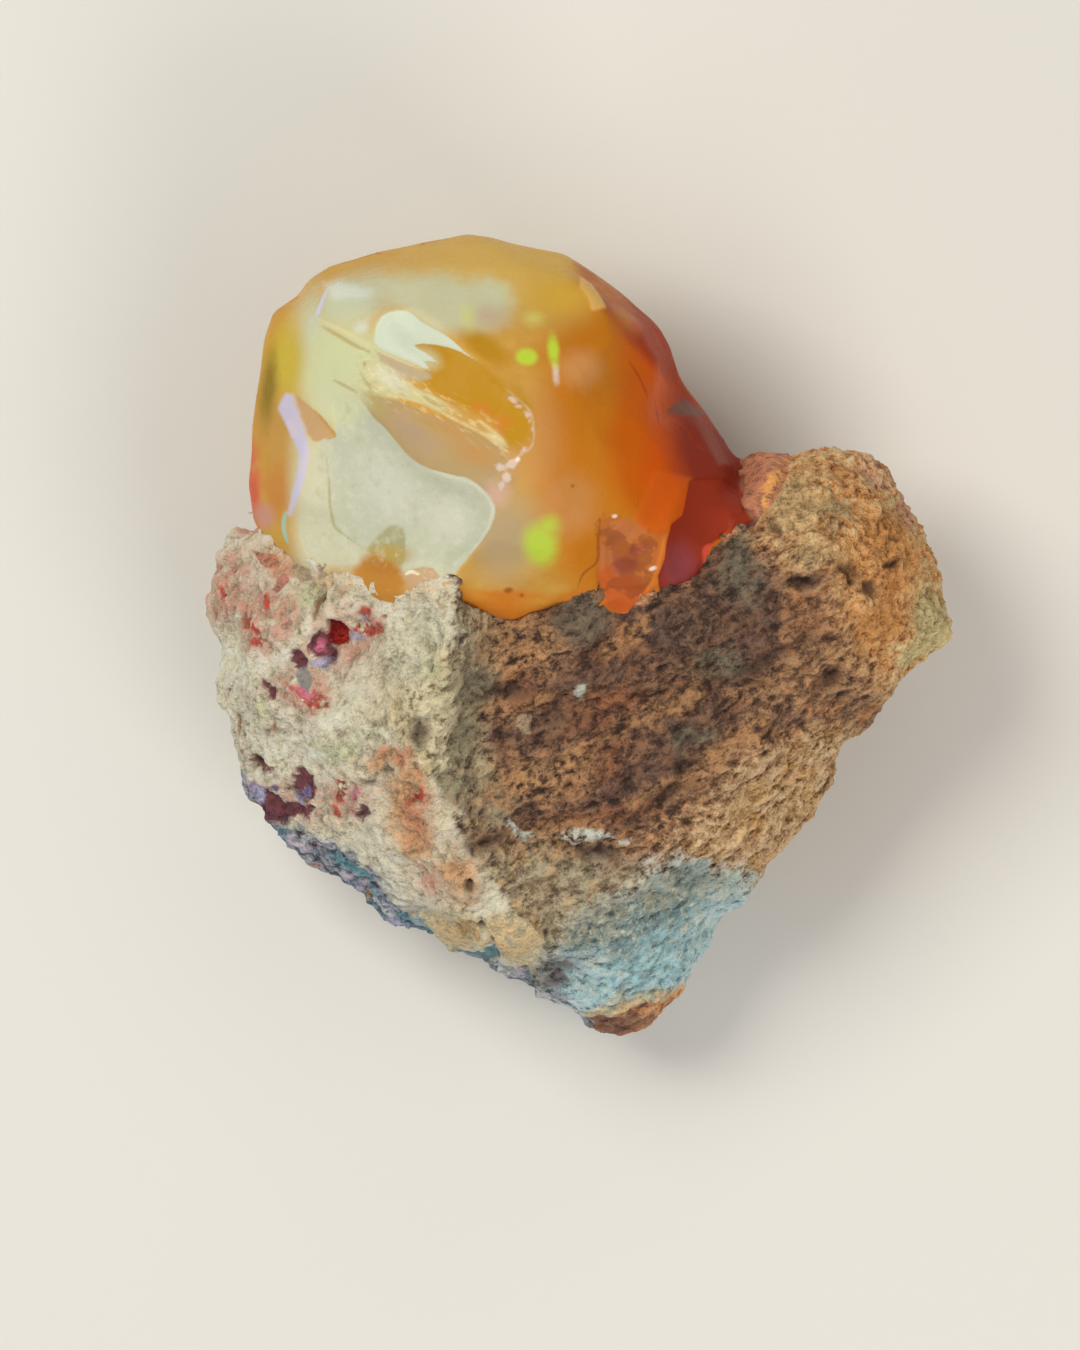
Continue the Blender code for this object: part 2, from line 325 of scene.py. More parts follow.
def lumps(points, size, kind=noise.noise, shift=0.0):
    return np.array([kind(p) for p in (points / size + shift).tolist()])


def bend(points, pulls):  # moves the points about, by size and reach of each pull
    bent = points.copy()
    for size, reach in pulls:
        shifts = [lumps(points, size, shift=start) for start in (5.1, 27.3, 61.7)]
        bent += reach * np.stack(shifts, axis=1)
    return bent


def turnedBy(points, degrees, stretch):
    c, s = math.cos(math.radians(degrees)), math.sin(math.radians(degrees))
    x, y, z = points.T
    return np.stack([(x * c + y * s) / stretch, y * c - x * s, z], axis=1)


def treeOf(mesh):  # in metres
    return BVHTree.FromPolygons([v.co for v in mesh.vertices], [p.vertices[:] for p in mesh.polygons])


def roundGrain():  # a small ball's points and faces
    form = bmesh.new()
    bmesh.ops.create_icosphere(form, subdivisions=1, radius=1)
    points = np.array([v.co for v in form.verts])
    faces = [[v.index for v in face.verts] for face in form.faces]
    form.free()
    return points, faces


class Surface:
    # a fine copy of a node's mesh, its points in millimetres
    def __init__(self, name, node, settings):
        self.rim = settings["rim"]
        self.spacing = settings["spacing"]
        self.piece = addObject(name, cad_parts[node].data.copy())
        self.even(settings["wear"])

    def even(self, wear):  # even quads, then worn smooth
        remesh = self.piece.modifiers.new("even", "REMESH")
        remesh.mode = "VOXEL"
        remesh.voxel_size = self.spacing * mm
        self.piece.modifiers.new("worn", "SMOOTH").iterations = wear
        bpy.context.view_layer.update()
        graph = bpy.context.evaluated_depsgraph_get()
        mesh = bpy.data.meshes.new_from_object(self.piece.evaluated_get(graph))
        self.piece.modifiers.clear()
        self.piece.data = mesh
        self.read()

    def refine(self, cover):  # halves the spacing on the faces that show from above
        form = bmesh.new()
        form.from_mesh(self.piece.data)
        form.normal_update()
        up = Vector((0, 0, 1))
        edges = set()
        for face in form.faces:
            hidden = cover.ray_cast(face.calc_center_median(), up)[0] is not None
            if face.normal.z > drawing["showing"] and not hidden:
                edges.update(face.edges)
        bmesh.ops.subdivide_edges(form, edges=list(edges), cuts=1, use_grid_fill=True)
        form.to_mesh(self.piece.data)
        form.free()
        self.read()

    def read(self):
        mesh = self.piece.data
        points = np.empty(len(mesh.vertices) * 3, np.float32)
        normals = np.empty(len(mesh.vertices) * 3, np.float32)
        mesh.vertices.foreach_get("co", points)
        mesh.vertex_normals.foreach_get("vector", normals)
        self.points = points.reshape(-1, 3).astype(float) / mm
        self.normals = normals.reshape(-1, 3).astype(float)

    def write(self):
        self.piece.data.vertices.foreach_set("co", (self.points * mm).ravel())
        self.piece.data.update()
        self.read()

    def push(self, rise):
        self.points += self.normals * rise[:, None]
        self.write()

    def closeUp(self, other, reach, overlap, grip):  # draws what is near the other onto it
        for number, point in enumerate(self.points.tolist()):
            spot, normal, _, gap = other.find_nearest(Vector(point), reach)
            if spot is not None:
                pull = 1 - gap / reach
                self.points[number] += (spot - normal * overlap - Vector(point)) * min(1, grip * pull)
        self.write()

    def addGrains(self, grains):  # joins on balls, each a centre, a radius and a flattening
        ball, ballFaces = roundGrain()
        points = [self.points]
        faces = [p.vertices[:] for p in self.piece.data.polygons]
        start = len(self.points)
        for centre, radius, flat in grains:
            points.append(centre + ball * radius * (1, flat, 1))
            faces += [[start + corner for corner in face] for face in ballFaces]
            start += len(ball)
        mesh = bpy.data.meshes.new(self.piece.name)
        mesh.from_pydata((np.vstack(points) * mm).tolist(), [], faces)
        self.piece.data = mesh

    def store(self, name, values):
        made = self.piece.data.attributes.new(name, "FLOAT", "POINT")
        made.data.foreach_set("value", np.ascontiguousarray(values, np.float32))

    def tree(self):
        polygons = [p.vertices[:] for p in self.piece.data.polygons]
        return BVHTree.FromPolygons(self.points.tolist(), polygons)

    def drawn(self, tree, mark, points):  # how far inside a mark each point is, negative outside
        best = np.full(len(points), drawing["far"])
        above = self.rim + drawing["above"]
        for outline in mark.get("outlines", []):
            within = inside(points[:, :2], outline, mark.get("curved"))
            most = (points[:, 2] - self.rim) * drawing["fade"] + drawing["under"]
            best = np.maximum(best, np.minimum(within, most))
        for width, *line in mark.get("lines", []):
            run = [(x, y, topAt(tree, x, y, above)) for x, y in smoothLine(line, 4)]
            away, along = distanceTo(points, np.array(run))
            best = np.maximum(best, width * (1 - abs(2 * along - 1) ** 3) - away)
        for x, y, across, up, *turn in mark.get("spots", []):
            off = points - (x, y, topAt(tree, x, y, above))
            sizes = (across, up, drawing["deep"] * max(across, up))
            away = np.linalg.norm(turnedBy(off, turn[0] if turn else 0, 1) / sizes, axis=1)
            best = np.maximum(best, (1 - away) * min(across, up))
        return best

    def finish(self, node):
        self.piece.data.shade_smooth()
        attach(self.piece, "root")
        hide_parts(node)


def topAt(tree, x, y, otherwise):
    hit = tree.ray_cast(Vector((x, y, 60)), Vector((0, 0, -1)))[0]
    return hit.z if hit else otherwise


rock = dict(
    spacing=0.295,  # of the even mesh, halved on the show face
    wear=1,
    rim=5.0,  # height of the outline that the show face rises from
    hug=0.9,  # rock this near to the opal closes up to it
    overlap=0.05,
    grip=1.6,  # how soon it closes up all the way
    calm=0.2,  # lumps are halved within this of the opal
    foot=(0.05, 0.35),  # what rests on the floor is flat, up to these heights
    pulls=[(1.6, 0.5), (0.5, 0.22)],  # how the edges of zones and marks wander
    blend=0.8,  # width of the change from one kind of lumps to the next
    smoothEdge=0.2,  # the same for a mark that is smooth
    slopes=dict(brown=28, lobe=42, teal=14, cream=24),  # degrees that the lumps run at
    # kind, size, height and length of each layer of lumps
    layers=dict(
        cream=[("rough", 2.6, 0.2, 1.2), ("crumbs", 0.9, 0.08, 1.6), ("rough", 0.5, 0.12, 1.3)],
        brown=[("rough", 2.0, 0.2, 1.8), ("crumbs", 0.8, 0.1, 2.6), ("rough", 0.45, 0.15, 1.6)],
        lobe=[("rough", 2.0, 0.2, 1.2), ("crumbs", 0.7, 0.08, 1.3), ("rough", 0.42, 0.14, 1.1)],
        teal=[("rough", 2.2, 0.16, 1.4), ("crumbs", 0.8, 0.05, 2.4), ("rough", 0.42, 0.1, 1.6)],
    ),
    # the skin: each grain is a size, a detail and a roughness of noise
    skin=dict(
        swirl=(1.4, 0.5),
        slope=(30, 1.5),  # the fine grain runs at these degrees, drawn out this much
        clouds=(2.4, 3, 0.6),
        flecks=(0.5, 4, 0.75),
        mid=(0.9, 3, 0.6),
        curls=(0.6, 3, 0.6),
        fine=(0.28, 5, 0.7),
        grit=(0.12, 2, 0.6),
        middle=0.53,  # tone of an even place, 0 in the hollows and 1 on the crests
        tones=(0.16, 0.5, 0.86),  # where a zone's three colours lie
        shades=dict(zone=(0.52, 1.3), mark=(0.66, 1.24)),  # painted shade of the hollows and painted light of the crests
        roughness=0.88,
        polish=0.5,
        bump=0.5,
    ),
)

# the line along which rock grips the opal, seen from above, and the grains piled there
seat = dict(
    line=[(-17.4, 8.1), (-16.8, 8.4), (-15.9, 8.3), (-15.6, 7.8), (-15.1, 7.2), (-14.6, 6.9),
          (-14.0, 6.6), (-13.3, 6.6), (-13.1, 5.9), (-12.3, 6.2), (-11.8, 5.8), (-10.8, 5.7),
          (-10.0, 5.5), (-9.6, 5.2), (-9.0, 5.1), (-8.1, 5.4), (-7.3, 5.6), (-6.5, 5.7),
          (-6.1, 4.8), (-5.0, 3.9), (-4.0, 3.4), (-2.9, 3.0), (-2.1, 3.4), (-1.5, 4.0), (-0.9, 4.5),
          (-0.1, 4.8), (0.8, 4.9), (1.2, 4.6), (1.6, 4.0), (2.0, 3.5), (2.3, 4.0), (3.4, 4.8),
          (4.5, 5.1), (5.9, 5.3), (6.1, 4.6), (6.4, 5.4), (6.6, 7.0), (7.3, 7.6), (7.7, 8.5),
          (8.3, 8.7)],
    pitch=0.26,
    rows=[(-0.1, 0.24), (0.3, 0.34), (0.75, 0.44), (1.25, 0.52), (1.8, 0.56)],  # how far out, radius
    ahead=0.4,  # the line's slope is taken over this length
    uneven=0.9,  # how much the radius varies, and the reach outwards
    astray=0.5,  # how far one grain strays from its row
    sunk=0.5,  # share of the radius that lies under the opal's skin
    cover=0.1,  # the opal may lie this far under the rock and still take grains
    around=0.22,  # radius of the grains in the seam at the sides and back
    seam=0.3,  # rock this near to the opal is part of that seam
    bare=0.12,  # where the seam has no grains, as a level of the noise
    shoulder=[(8.0, 11.3), (9.0, 12.0), (10.9, 12.6), (11.6, 11.6), (10.4, 9.4), (8.75, 8.3),
              (8.1, 9.1)],
    shoulderBox=[(7.9, 11.8), (8.2, 12.8)],
    crust=0.36,  # radius of the grains that cover the shoulder
)

# colours of hollows, slopes and crests (darker in the hollows, partly the rock's own colour and partly
# painted shade), two tints that cloud them, and where each kind of rock is
rockZones = dict(
    brown=dict(
        colours=[(64, 46, 40), (112, 82, 65), (172, 132, 100)], tints=[(95, 71, 63), (140, 98, 68)]),
    tan=dict(
        colours=[(84, 62, 51), (148, 110, 81), (208, 164, 122)],
        tints=[(126, 97, 79), (180, 126, 82)], edge=0.8, ragged=2.4,
        outline=[(8.6, 8.4), (9.6, 7.2), (12.4, 6.8), (16, 6), (18, 0), (14.5, -3), (11, -6),
                 (6.6, -8.4), (2.6, -8.2), (1.6, -7.2), (4.4, -6.6), (6, -5.2), (7.4, -3.4),
                 (8.6, -1), (10.6, 1.4), (10.2, 4)]),
    # the crest's right flank: grey rock, partly its own colour and partly painted shade where the flank
    # faces away from the light
    greyBand=dict(
        colours=[(103, 90, 72), (172, 155, 125), (214, 200, 166)],
        tints=[(150, 136, 112), (187, 156, 116)], edge=0.5, ragged=1.4,
        outline=[(-6.2, 4.8), (-4.2, 4), (-4, 0.6), (-4.9, -1), (-4.6, -4), (-3.2, -5.6), (-4.6, -7),
                 (-7.6, -5.6), (-8.4, -2.5), (-7.8, 0), (-6.6, 2)]),
    lobe=dict(
        colours=[(150, 92, 60), (255, 180, 108), (255, 236, 182)],
        tints=[(255, 178, 104), (255, 214, 152)], edge=1.2, ragged=2.8,
        outline=[(8.5, 12.5), (8.6, 9), (9.8, 7.4), (12.4, 7), (13.1, 4.6), (13.8, 2.8), (14.2, 1.2),
                 (16, 0.2), (25, -1), (25, 15), (8.5, 15)]),
    ochre=dict(
        colours=[(102, 74, 50), (212, 166, 114), (255, 230, 186)],
        tints=[(228, 174, 104), (190, 156, 126)], edge=1.1, ragged=2.4,
        outline=[(6.6, -5.9), (8.6, -3.8), (12.4, -1.9), (14.4, -2.4), (11.6, -8), (8.4, -10.6),
                 (6.8, -8.6), (4.6, -8.6), (4.8, -7.4)]),
    olive=dict(
        colours=[(104, 88, 69), (166, 145, 116), (214, 198, 168)],
        tints=[(152, 148, 122), (184, 152, 110)], edge=0.9, ragged=2.2,
        outline=[(-6, -7.6), (-2, -7.6), (2, -8.4), (4, -9.2), (1.4, -10.8), (0, -12.4), (-1, -14.4),
                 (-3, -13.4), (-4.4, -10.8), (-5.4, -9.6)]),
    teal=dict(
        colours=[(104, 138, 148), (200, 240, 248), (250, 255, 252)],
        tints=[(208, 228, 220), (194, 246, 255)], edge=0.9, ragged=2.8,
        outline=[(-1.7, -13.8), (-0.2, -12), (1.2, -10.9), (3, -9.9), (3.8, -9), (5.6, -8.8),
                 (7.6, -9.4), (12, -11), (12, -17), (0.4, -20), (-1.4, -15)]),
    tip=dict(
        colours=[(118, 76, 62), (210, 144, 102), (252, 206, 152)],
        tints=[(238, 150, 88), (150, 114, 94)], edge=0.3, ragged=1.4,
        outline=[(7.4, -12.8), (5.4, -14.6), (4, -15.1), (2.3, -15.5), (1, -16.2), (0.2, -16.6),
                 (0, -22), (14, -22), (14, -12)]),
    cream=dict(
        colours=[(222, 200, 162), (255, 249, 222), (255, 255, 238)],
        tints=[(255, 238, 210), (255, 250, 216)], edge=0.3, ragged=0.9,
        outline=[(-6.25, 5), (-6.1, 3.5), (-6.4, 2), (-7.4, 0), (-8, -1.5), (-7.75, -3.5), (-7, -5),
                 (-5.9, -7), (-5.1, -9), (-4, -10.5), (-2.75, -12.2), (-2, -13.4), (-3.5, -17),
                 (-30, -25), (-30, 12), (-9, 12)]),
    folds=dict(
        colours=[(144, 128, 98), (230, 214, 172), (255, 248, 214)],
        tints=[(240, 214, 160), (194, 184, 152)], edge=0.4, ragged=1.2,
        outline=[(-9.3, -0.2), (-9, 1.6), (-7.6, 2.6), (-6.4, 2), (-6.2, -0.6), (-6.6, -3.4),
                 (-7.6, -5.2), (-8.6, -4.6), (-9.3, -2.6)]),
    strip=dict(
        colours=[(60, 64, 84), (120, 134, 146), (200, 204, 210)],
        tints=[(96, 140, 158), (176, 158, 178)], edge=0.2, ragged=0.8,
        outline=[(-17.4, -3.4), (-16.2, -5.6), (-14.8, -6.6), (-12.9, -7.5), (-11.2, -8.6),
                 (-10, -9.7), (-8.1, -11.2), (-7, -12.2), (-5.7, -13), (-4, -13.7), (-2.5, -14.1),
                 (-1.5, -15.2), (0.4, -16.6), (0, -25), (-25, -25), (-25, -3.4)]),
)

# spots are x, y, half width, half height and perhaps a turn; a line starts with its half width.
# kind says how a mark is broken up, into wisps or flecks; rise is its height and smooth its
# calm, and a mark with gloss shines
rockMarks = dict(
    pinkCloud=patch(
        (252, 222, 196), 0.7, 0.8, 0.6, kind="wisps",
        spots=[(-16.6, 5, 2.4, 2.4), (-9.8, 1.8, 1.6, 1.2), (-14.4, 0.2, 1.8, 1),
               (-11.4, -5.2, 2.2, 1.4), (-7.4, -8.6, 1.6, 1.8), (-12.4, 1.2, 1.6, 1.2)]),
    salmon=patch(
        (252, 214, 186), 0.5, 0.7, 0.5,
        spots=[(-18.1, 5.4, 1, 1.6), (-17.2, 6.4, 1, 0.7, 30), (-17.9, 4.4, 0.8, 0.8),
               (-16.4, 8.2, 1.1, 0.9), (-15.4, 4.6, 1.2, 0.6), (-16, 2.6, 1, 0.8)]),
    seatOchre=patch(
        (224, 176, 118), 0.4, 0.7, 0.6, kind="wisps",
        spots=[(-12.1, 5.2, 1.3, 0.6), (-8, 5, 1, 0.5), (-15, 6.6, 1.2, 0.5, -30)]),
    ochreCloud=patch(
        (248, 222, 168), 0.7, 0.6, 0.4,
        spots=[(-9.7, -0.8, 1.3, 1.4), (-13.2, 4.4, 1.3, 0.4, 10), (-8.2, -6.6, 1.5, 1.6),
               (-7.2, -8.4, 1.2, 1.2)]),
    whiteCrest=patch(
        (255, 250, 218), 0.7, 0.7, 0.9, kind="wisps",
        spots=[(-7.4, 3.4, 1.3, 1.6), (-8.6, 1.6, 1.4, 1.2), (-10.4, -3.2, 2, 1.4),
               (-12.4, -6, 2, 0.6, -20), (-9.6, 2.6, 1.4, 0.6)]),
    orangeTan=patch(
        (232, 180, 130), 0.5, 0.9, 0.9,
        spots=[(-8.7, -5.4, 0.9, 2.2), (-9.7, -3.5, 1, 0.5), (-6, -9.4, 0.9, 1.3, 20),
               (-8.3, -7.2, 0.7, 1.2)]),
    greenCloud=patch(
        (176, 186, 138), 0.4, 0.7, 0.5, kind="wisps",
        spots=[(-12.1, -2.8, 0.9, 0.6), (-16, -0.9, 0.5, 0.4), (-7.4, 0.9, 0.4, 0.8, 20),
               (-13.6, 4.4, 0.9, 0.3, 5)]),
    redFlecks=patch(
        (198, 104, 82), 0.5, 0.7, 0.5, kind="wisps",
        spots=[(-17.7, 5.2, 1, 1.6), (-15.6, 3.6, 1.6, 1.6), (-10.6, 3.2, 0.9, 0.8),
               (-13.9, 0, 1.2, 0.9, -30), (-11.7, -5.3, 0.9, 1.1), (-9.2, -3.3, 0.8, 0.5),
               (-8.1, -6, 0.5, 1.4), (-12.2, 2.6, 1.6, 1.2), (-14.4, -5.4, 1.6, 1, -20),
               (-16.2, 8.2, 0.9, 0.7), (-14.2, 6, 0.9, 0.6), (-7.6, -9.6, 0.7, 0.6)]),
    redStrokes=patch(
        (180, 66, 52), 0.1, 0.35, 0.9, kind="wisps",
        lines=[(0.22, (-17, 3.6), (-16.5, 3.4), (-16.1, 3.1), (-15.8, 2.6), (-15.4, 2.9),
                (-15.1, 3.2)),
               (0.16, (-15.8, 2.6), (-16, 2.2), (-16.4, 2)),
               (0.2, (-15.9, 4.9), (-15.5, 4.7), (-15.3, 4.3), (-15, 4.5)),
               (0.2, (-18, 4.9), (-17.7, 4.5), (-17.6, 4.1)),
               (0.12, (-17.5, 5.5), (-17.1, 5.9), (-16.6, 6.2)),
               (0.15, (-14.6, 0.5), (-13.9, -0.3), (-13.5, -0.7), (-12.7, -1.1)),
               (0.13, (-13.5, -0.3), (-13.2, -0.6), (-12.7, -0.8))],
        spots=[(-10.7, 3.5, 0.32, 0.4, 20), (-10.8, 2.9, 0.5, 0.3, 10), (-10.1, 2.9, 0.25, 0.25),
               (-11.9, -4.9, 0.3, 0.6, 10), (-11.8, -6.1, 0.25, 0.35), (-8.1, -5.3, 0.35, 0.16, 50)]),
    pinkFacet=patch(
        (200, 134, 108), 0.05, 0.1, 0.95, rise=-0.1, smooth=1,
        outlines=[[(-16.4, 7), (-15.2, 6.8), (-14.9, 6.3), (-15.4, 6.1), (-16, 6.3)]]),
    tanFacets=patch(
        (178, 158, 130), 0.08, 0.2, 0.9, rise=-0.12, smooth=0.7,
        outlines=[[(-14.5, 6.3), (-13.9, 6.4), (-13.5, 6.1), (-13.3, 5.5), (-13.9, 5.4), (-14.3, 5.8)],
                  [(-13, 6.5), (-12.6, 6.3), (-12.5, 5.7), (-12.9, 5.5), (-13.1, 6)]]),
    rosePatch=patch(
        (184, 122, 106), 0.08, 0.25, 0.9,
        outlines=[[(-15.2, 5), (-14.9, 5.5), (-14.4, 5.8), (-14.2, 5.3), (-14.6, 5.1)]]),
    creases=patch(
        (146, 96, 62), 0.1, 0.25, 0.85, rise=-0.2,
        lines=[(0.13, (-15.3, -1.2), (-15.2, -1.6), (-15.5, -2.1), (-15.7, -2.5)),
               (0.1, (-17.7, -0.1), (-17.4, 0.3), (-17, 0.5)),
               (0.1, (-17.6, -0.7), (-17.3, -1.3), (-17.1, -2)),
               (0.1, (-10, 3.4), (-9.5, 3.7), (-9, 3.8), (-8.3, 3.5)),
               (0.13, (-13.5, 3.5), (-13.3, 4), (-12.9, 4.5), (-12.4, 4.7)),
               (0.1, (-14.4, 3.6), (-14.2, 2.6), (-14.5, 1.6)),
               (0.1, (-9.7, -9.4), (-9.3, -9.6), (-8.9, -9.7))],
        spots=[(-16.7, 3.5, 0.3, 0.15), (-15.9, -3.7, 0.4, 0.22, -20)]),
    slabs=patch(
        (248, 234, 194), 0.06, 0.1, rise=0.4, smooth=0.8,
        outlines=[[(-8, -11), (-6.7, -10.6), (-5.9, -10.5), (-5.7, -10.9), (-5, -11.3), (-4.7, -12),
                   (-4.4, -12.4), (-4.7, -12.7), (-5.8, -12.9), (-6.3, -12.8), (-7.2, -12)],
                  [(-4.8, -11.2), (-3.6, -10.9), (-2.5, -11.6), (-1.8, -12.2), (-2.1, -13.1),
                   (-2.7, -13.6), (-3.6, -13.2), (-4.3, -12.4)]]),
    slabGrain=patch(
        (208, 172, 120), 0.3, 0.3, 0.6, kind="wisps",
        spots=[(-6, -11.6, 1.4, 0.9), (-3.4, -12.2, 1.2, 1)]),
    slabFacet=patch(
        (194, 162, 112), 0.05, 0.1, 0.9, rise=-0.1,
        outlines=[[(-5.9, -10.9), (-5, -11.3), (-4.7, -12), (-5, -12.2), (-5.8, -11.9)]]),
    slabEdge=patch(
        (226, 220, 196), 0.1, 0.2, 0.9,
        lines=[(0.16, (-6.2, -12.7), (-5.5, -12.6), (-4.6, -12.5))]),
    slabShade=patch(
        (122, 98, 68), 0.08, 0.1, 0.85,
        lines=[(0.15, (-8.1, -11.2), (-7.2, -12.15), (-6.3, -12.95), (-5.7, -13.05)),
               (0.13, (-2, -13.2), (-2.7, -13.75), (-3.6, -13.35)),
               (0.1, (-6.7, -10.5), (-5.9, -10.4), (-5.6, -10.8))]),
    # dark line in the crack between the slabs: painted shadow over a sunk groove
    gap=patch(
        (92, 76, 56), 0.12, 0.2, 0.9, rise=-0.5,
        lines=[(0.26, (-5.4, -9.7), (-5.6, -10), (-5.9, -10.4)),
               (0.14, (-4.9, -11), (-4.6, -11.8), (-4.2, -12.6), (-3.9, -13.2))]),
    tealFlat=patch(
        (86, 138, 152), 0.1, 0.15, 0.9, rise=-0.1,
        outlines=[[(-5.7, -13), (-4.4, -12.7), (-3.9, -13.1), (-4.7, -13.5), (-5.3, -13.3)]]),
    plum=patch(
        (106, 46, 62), 0.14, 0.7, 0.95, rise=-0.16, gloss=0.6,
        outlines=[[(-15.95, 0.6), (-15.5, 0.5), (-15, 0), (-14.95, -0.7), (-15.3, -0.4), (-15.7, 0.1)],
                  [(-14.6, -4.3), (-14.1, -4.1), (-13.7, -4.4), (-13.3, -5.2), (-13.8, -5.5),
                   (-14, -5.1), (-14.4, -4.9)],
                  [(-16.5, -5), (-15.9, -5.1), (-15.3, -5.2), (-15, -5.8), (-14.5, -5.7),
                   (-13.2, -5.8), (-13.5, -6.2), (-14.1, -6.3), (-14.8, -6.6), (-15.5, -6.4),
                   (-16.2, -5.9)],
                  [(-13.57, 2.9), (-13.1, 3.1), (-12.7, 2.9), (-12.5, 2.3), (-12.5, 1.7),
                   (-12.9, 1.8), (-13.3, 1.9), (-13.5, 2.3)]],
        spots=[(-14, 1.35, 0.36, 0.4, 20), (-10.8, -6, 0.4, 0.3), (-15.9, -3.7, 0.4, 0.2, -20)]),
    ruby=patch(
        (168, 42, 46), 0.08, 0.2, rise=-0.34, gloss=1,
        outlines=[[(-12.5, 3.5), (-12.2, 3.5), (-11.6, 3.2), (-11.4, 2.9), (-11.7, 2.7),
                   (-11.8, 2.2), (-12.2, 2.1), (-12.5, 2.3), (-12.7, 2.9)]]),
    rubyDark=patch(
        (132, 30, 36), 0.15, 0.3, 0.8,
        spots=[(-12.3, 3.25, 0.4, 0.25, -20), (-12.5, 2.7, 0.2, 0.3)]),
    rubyFire=patch(
        (204, 62, 42), 0.15, 0.3, 0.8, gloss=0.6,
        spots=[(-12, 2.4, 0.3, 0.25), (-11.7, 3, 0.15, 0.12)]),
    rose=patch(
        (204, 116, 140), 0.1, 0.2, 0.9, gloss=1,
        spots=[(-13.05, 2.45, 0.22, 0.28, 20), (-13.8, -0.2, 0.4, 0.14, -35),
               (-11.2, -5.2, 0.3, 0.14)]),
    lavender=patch(
        (182, 178, 214), 0.14, 0.3, 0.9,
        spots=[(-13.1, 1.5, 0.46, 0.22, 35), (-10.8, 3.4, 0.2, 0.12), (-11.3, 2.5, 0.3, 0.14),
               (-16.2, -5.3, 0.4, 0.3, -30), (-9.1, -11.6, 0.5, 0.2, -20), (-14, -5.3, 0.2, 0.3)]),
    slate=patch(
        (124, 136, 138), 0.06, 0.08, 0.8, rise=0.06, gloss=0.5, smooth=1, curved=True,
        outlines=[[(-14.05, 1), (-13.7, 1.1), (-13.35, 0.55), (-13.45, 0.05), (-13.8, 0.1),
                   (-14.05, 0.55)]]),
    violet=patch(
        (84, 60, 132), 0.1, 0.2, 0.85, rise=-0.1,
        spots=[(-15.2, -4.7, 0.2, 0.24), (-14, -5.2, 0.16, 0.2)]),
    rope=patch(
        (226, 216, 200), 0.08, 0.2, 0.9, rise=0.16,
        lines=[(0.14, (-15.6, -5), (-15.1, -5.1), (-14.8, -5.4), (-14.7, -5.8)),
               (0.12, (-14.9, -4), (-14.6, -4.8), (-14.1, -5.4))]),
    greyCrease=patch(
        (120, 100, 88), 0.15, 0.4, 0.85, rise=-0.2,
        lines=[(0.2, (-10.7, -5.1), (-10.3, -4.5), (-9.8, -4.2), (-9.4, -4.1))]),
    stripPlum=patch(
        (84, 66, 78), 0.12, 0.4, 0.9,
        lines=[(0.34, (-14.2, -7.1), (-13.6, -7.5), (-13.3, -8)),
               (0.22, (-13.2, -8.3), (-12.6, -8.9), (-11.9, -9.3)),
               (0.2, (-10.6, -9.7), (-10.2, -10)), (0.16, (-10, -11), (-9.6, -11.2)),
               (0.18, (-8.6, -11.6), (-8.1, -11.8)), (0.2, (-15, -6.2), (-14.6, -6.8))]),
    stripTeal=patch(
        (98, 146, 160), 0.2, 0.5, 0.9,
        lines=[(0.5, (-12.9, -8.1), (-11.9, -8.7), (-11.1, -9.1), (-10.4, -9.7)),
               (0.3, (-9, -11.1), (-7.8, -11.7), (-6.6, -12.6))]),
    stripGreen=patch((76, 112, 98), 0.12, 0.3, 0.8, lines=[(0.14, (-12.2, -8.1), (-11.5, -8.5))]),
    stripPink=patch(
        (202, 148, 132), 0.12, 0.3, 0.95,
        lines=[(0.36, (-13.4, -8.6), (-12.9, -9.2), (-12.2, -9.7), (-11.4, -10))]),
    stripOrange=patch(
        (206, 142, 62), 0.1, 0.2, 0.95,
        lines=[(0.3, (-11.4, -10), (-11, -10.3), (-10.5, -10.6))]),
    stripPale=patch(
        (200, 204, 204), 0.15, 0.4, 0.9,
        lines=[(0.22, (-14.2, -7.7), (-13.2, -7.3), (-12.6, -7.6)),
               (0.3, (-10.3, -10.4), (-9.9, -10.8), (-9.4, -11.3)),
               (0.36, (-4.8, -13.7), (-2.5, -15), (0.2, -16.6))]),
    # dark brown patches: partly the rock's own dark colour, partly painted shadow under the opal's
    # right end and in the hollows
    hollows=patch(
        (98, 78, 70), 0.7, 1.4, 0.5,
        spots=[(7.7, 4, 2.2, 2.8), (4.9, 3.2, 2.2, 1.5), (3.5, -4.6, 1.8, 0.6, 20),
               (5.7, -2.1, 1.9, 0.6, 25), (-0.3, 3.4, 1.2, 0.9), (1, 1, 1.6, 0.8, 25),
               (-3, -2, 1.8, 0.6, 12), (-4.2, 0, 1.2, 0.3, -12), (-0.6, -5.2, 1.6, 0.5, 15),
               (-4.5, -7.6, 1.1, 0.45, 20), (0.9, -8.1, 0.9, 0.4), (-2.6, -6, 1.3, 0.4, 15)]),
    greyGreen=patch(
        (112, 118, 100), 0.5, 1, 0.55, kind="wisps",
        spots=[(8, 6.2, 1, 1.8), (-6, -4.7, 0.9, 0.7), (12.6, 8.6, 0.7, 0.9),
               (7, 1.3, 1.2, 0.6, -20), (-1.6, -4, 1.2, 0.4, 15), (0.4, 3.6, 1.1, 1),
               (-5.2, 0.2, 0.7, 1.6), (5.6, -2.4, 0.9, 0.5), (-5.9, -2.4, 0.6, 1)]),
    rust=patch(
        (148, 94, 62), 0.6, 1.2, 0.55, kind="wisps",
        spots=[(0.6, -3.8, 1.8, 0.9, 25), (-3.4, -4.8, 1.8, 0.6, 20), (0.6, -6.4, 1.8, 0.5, 5),
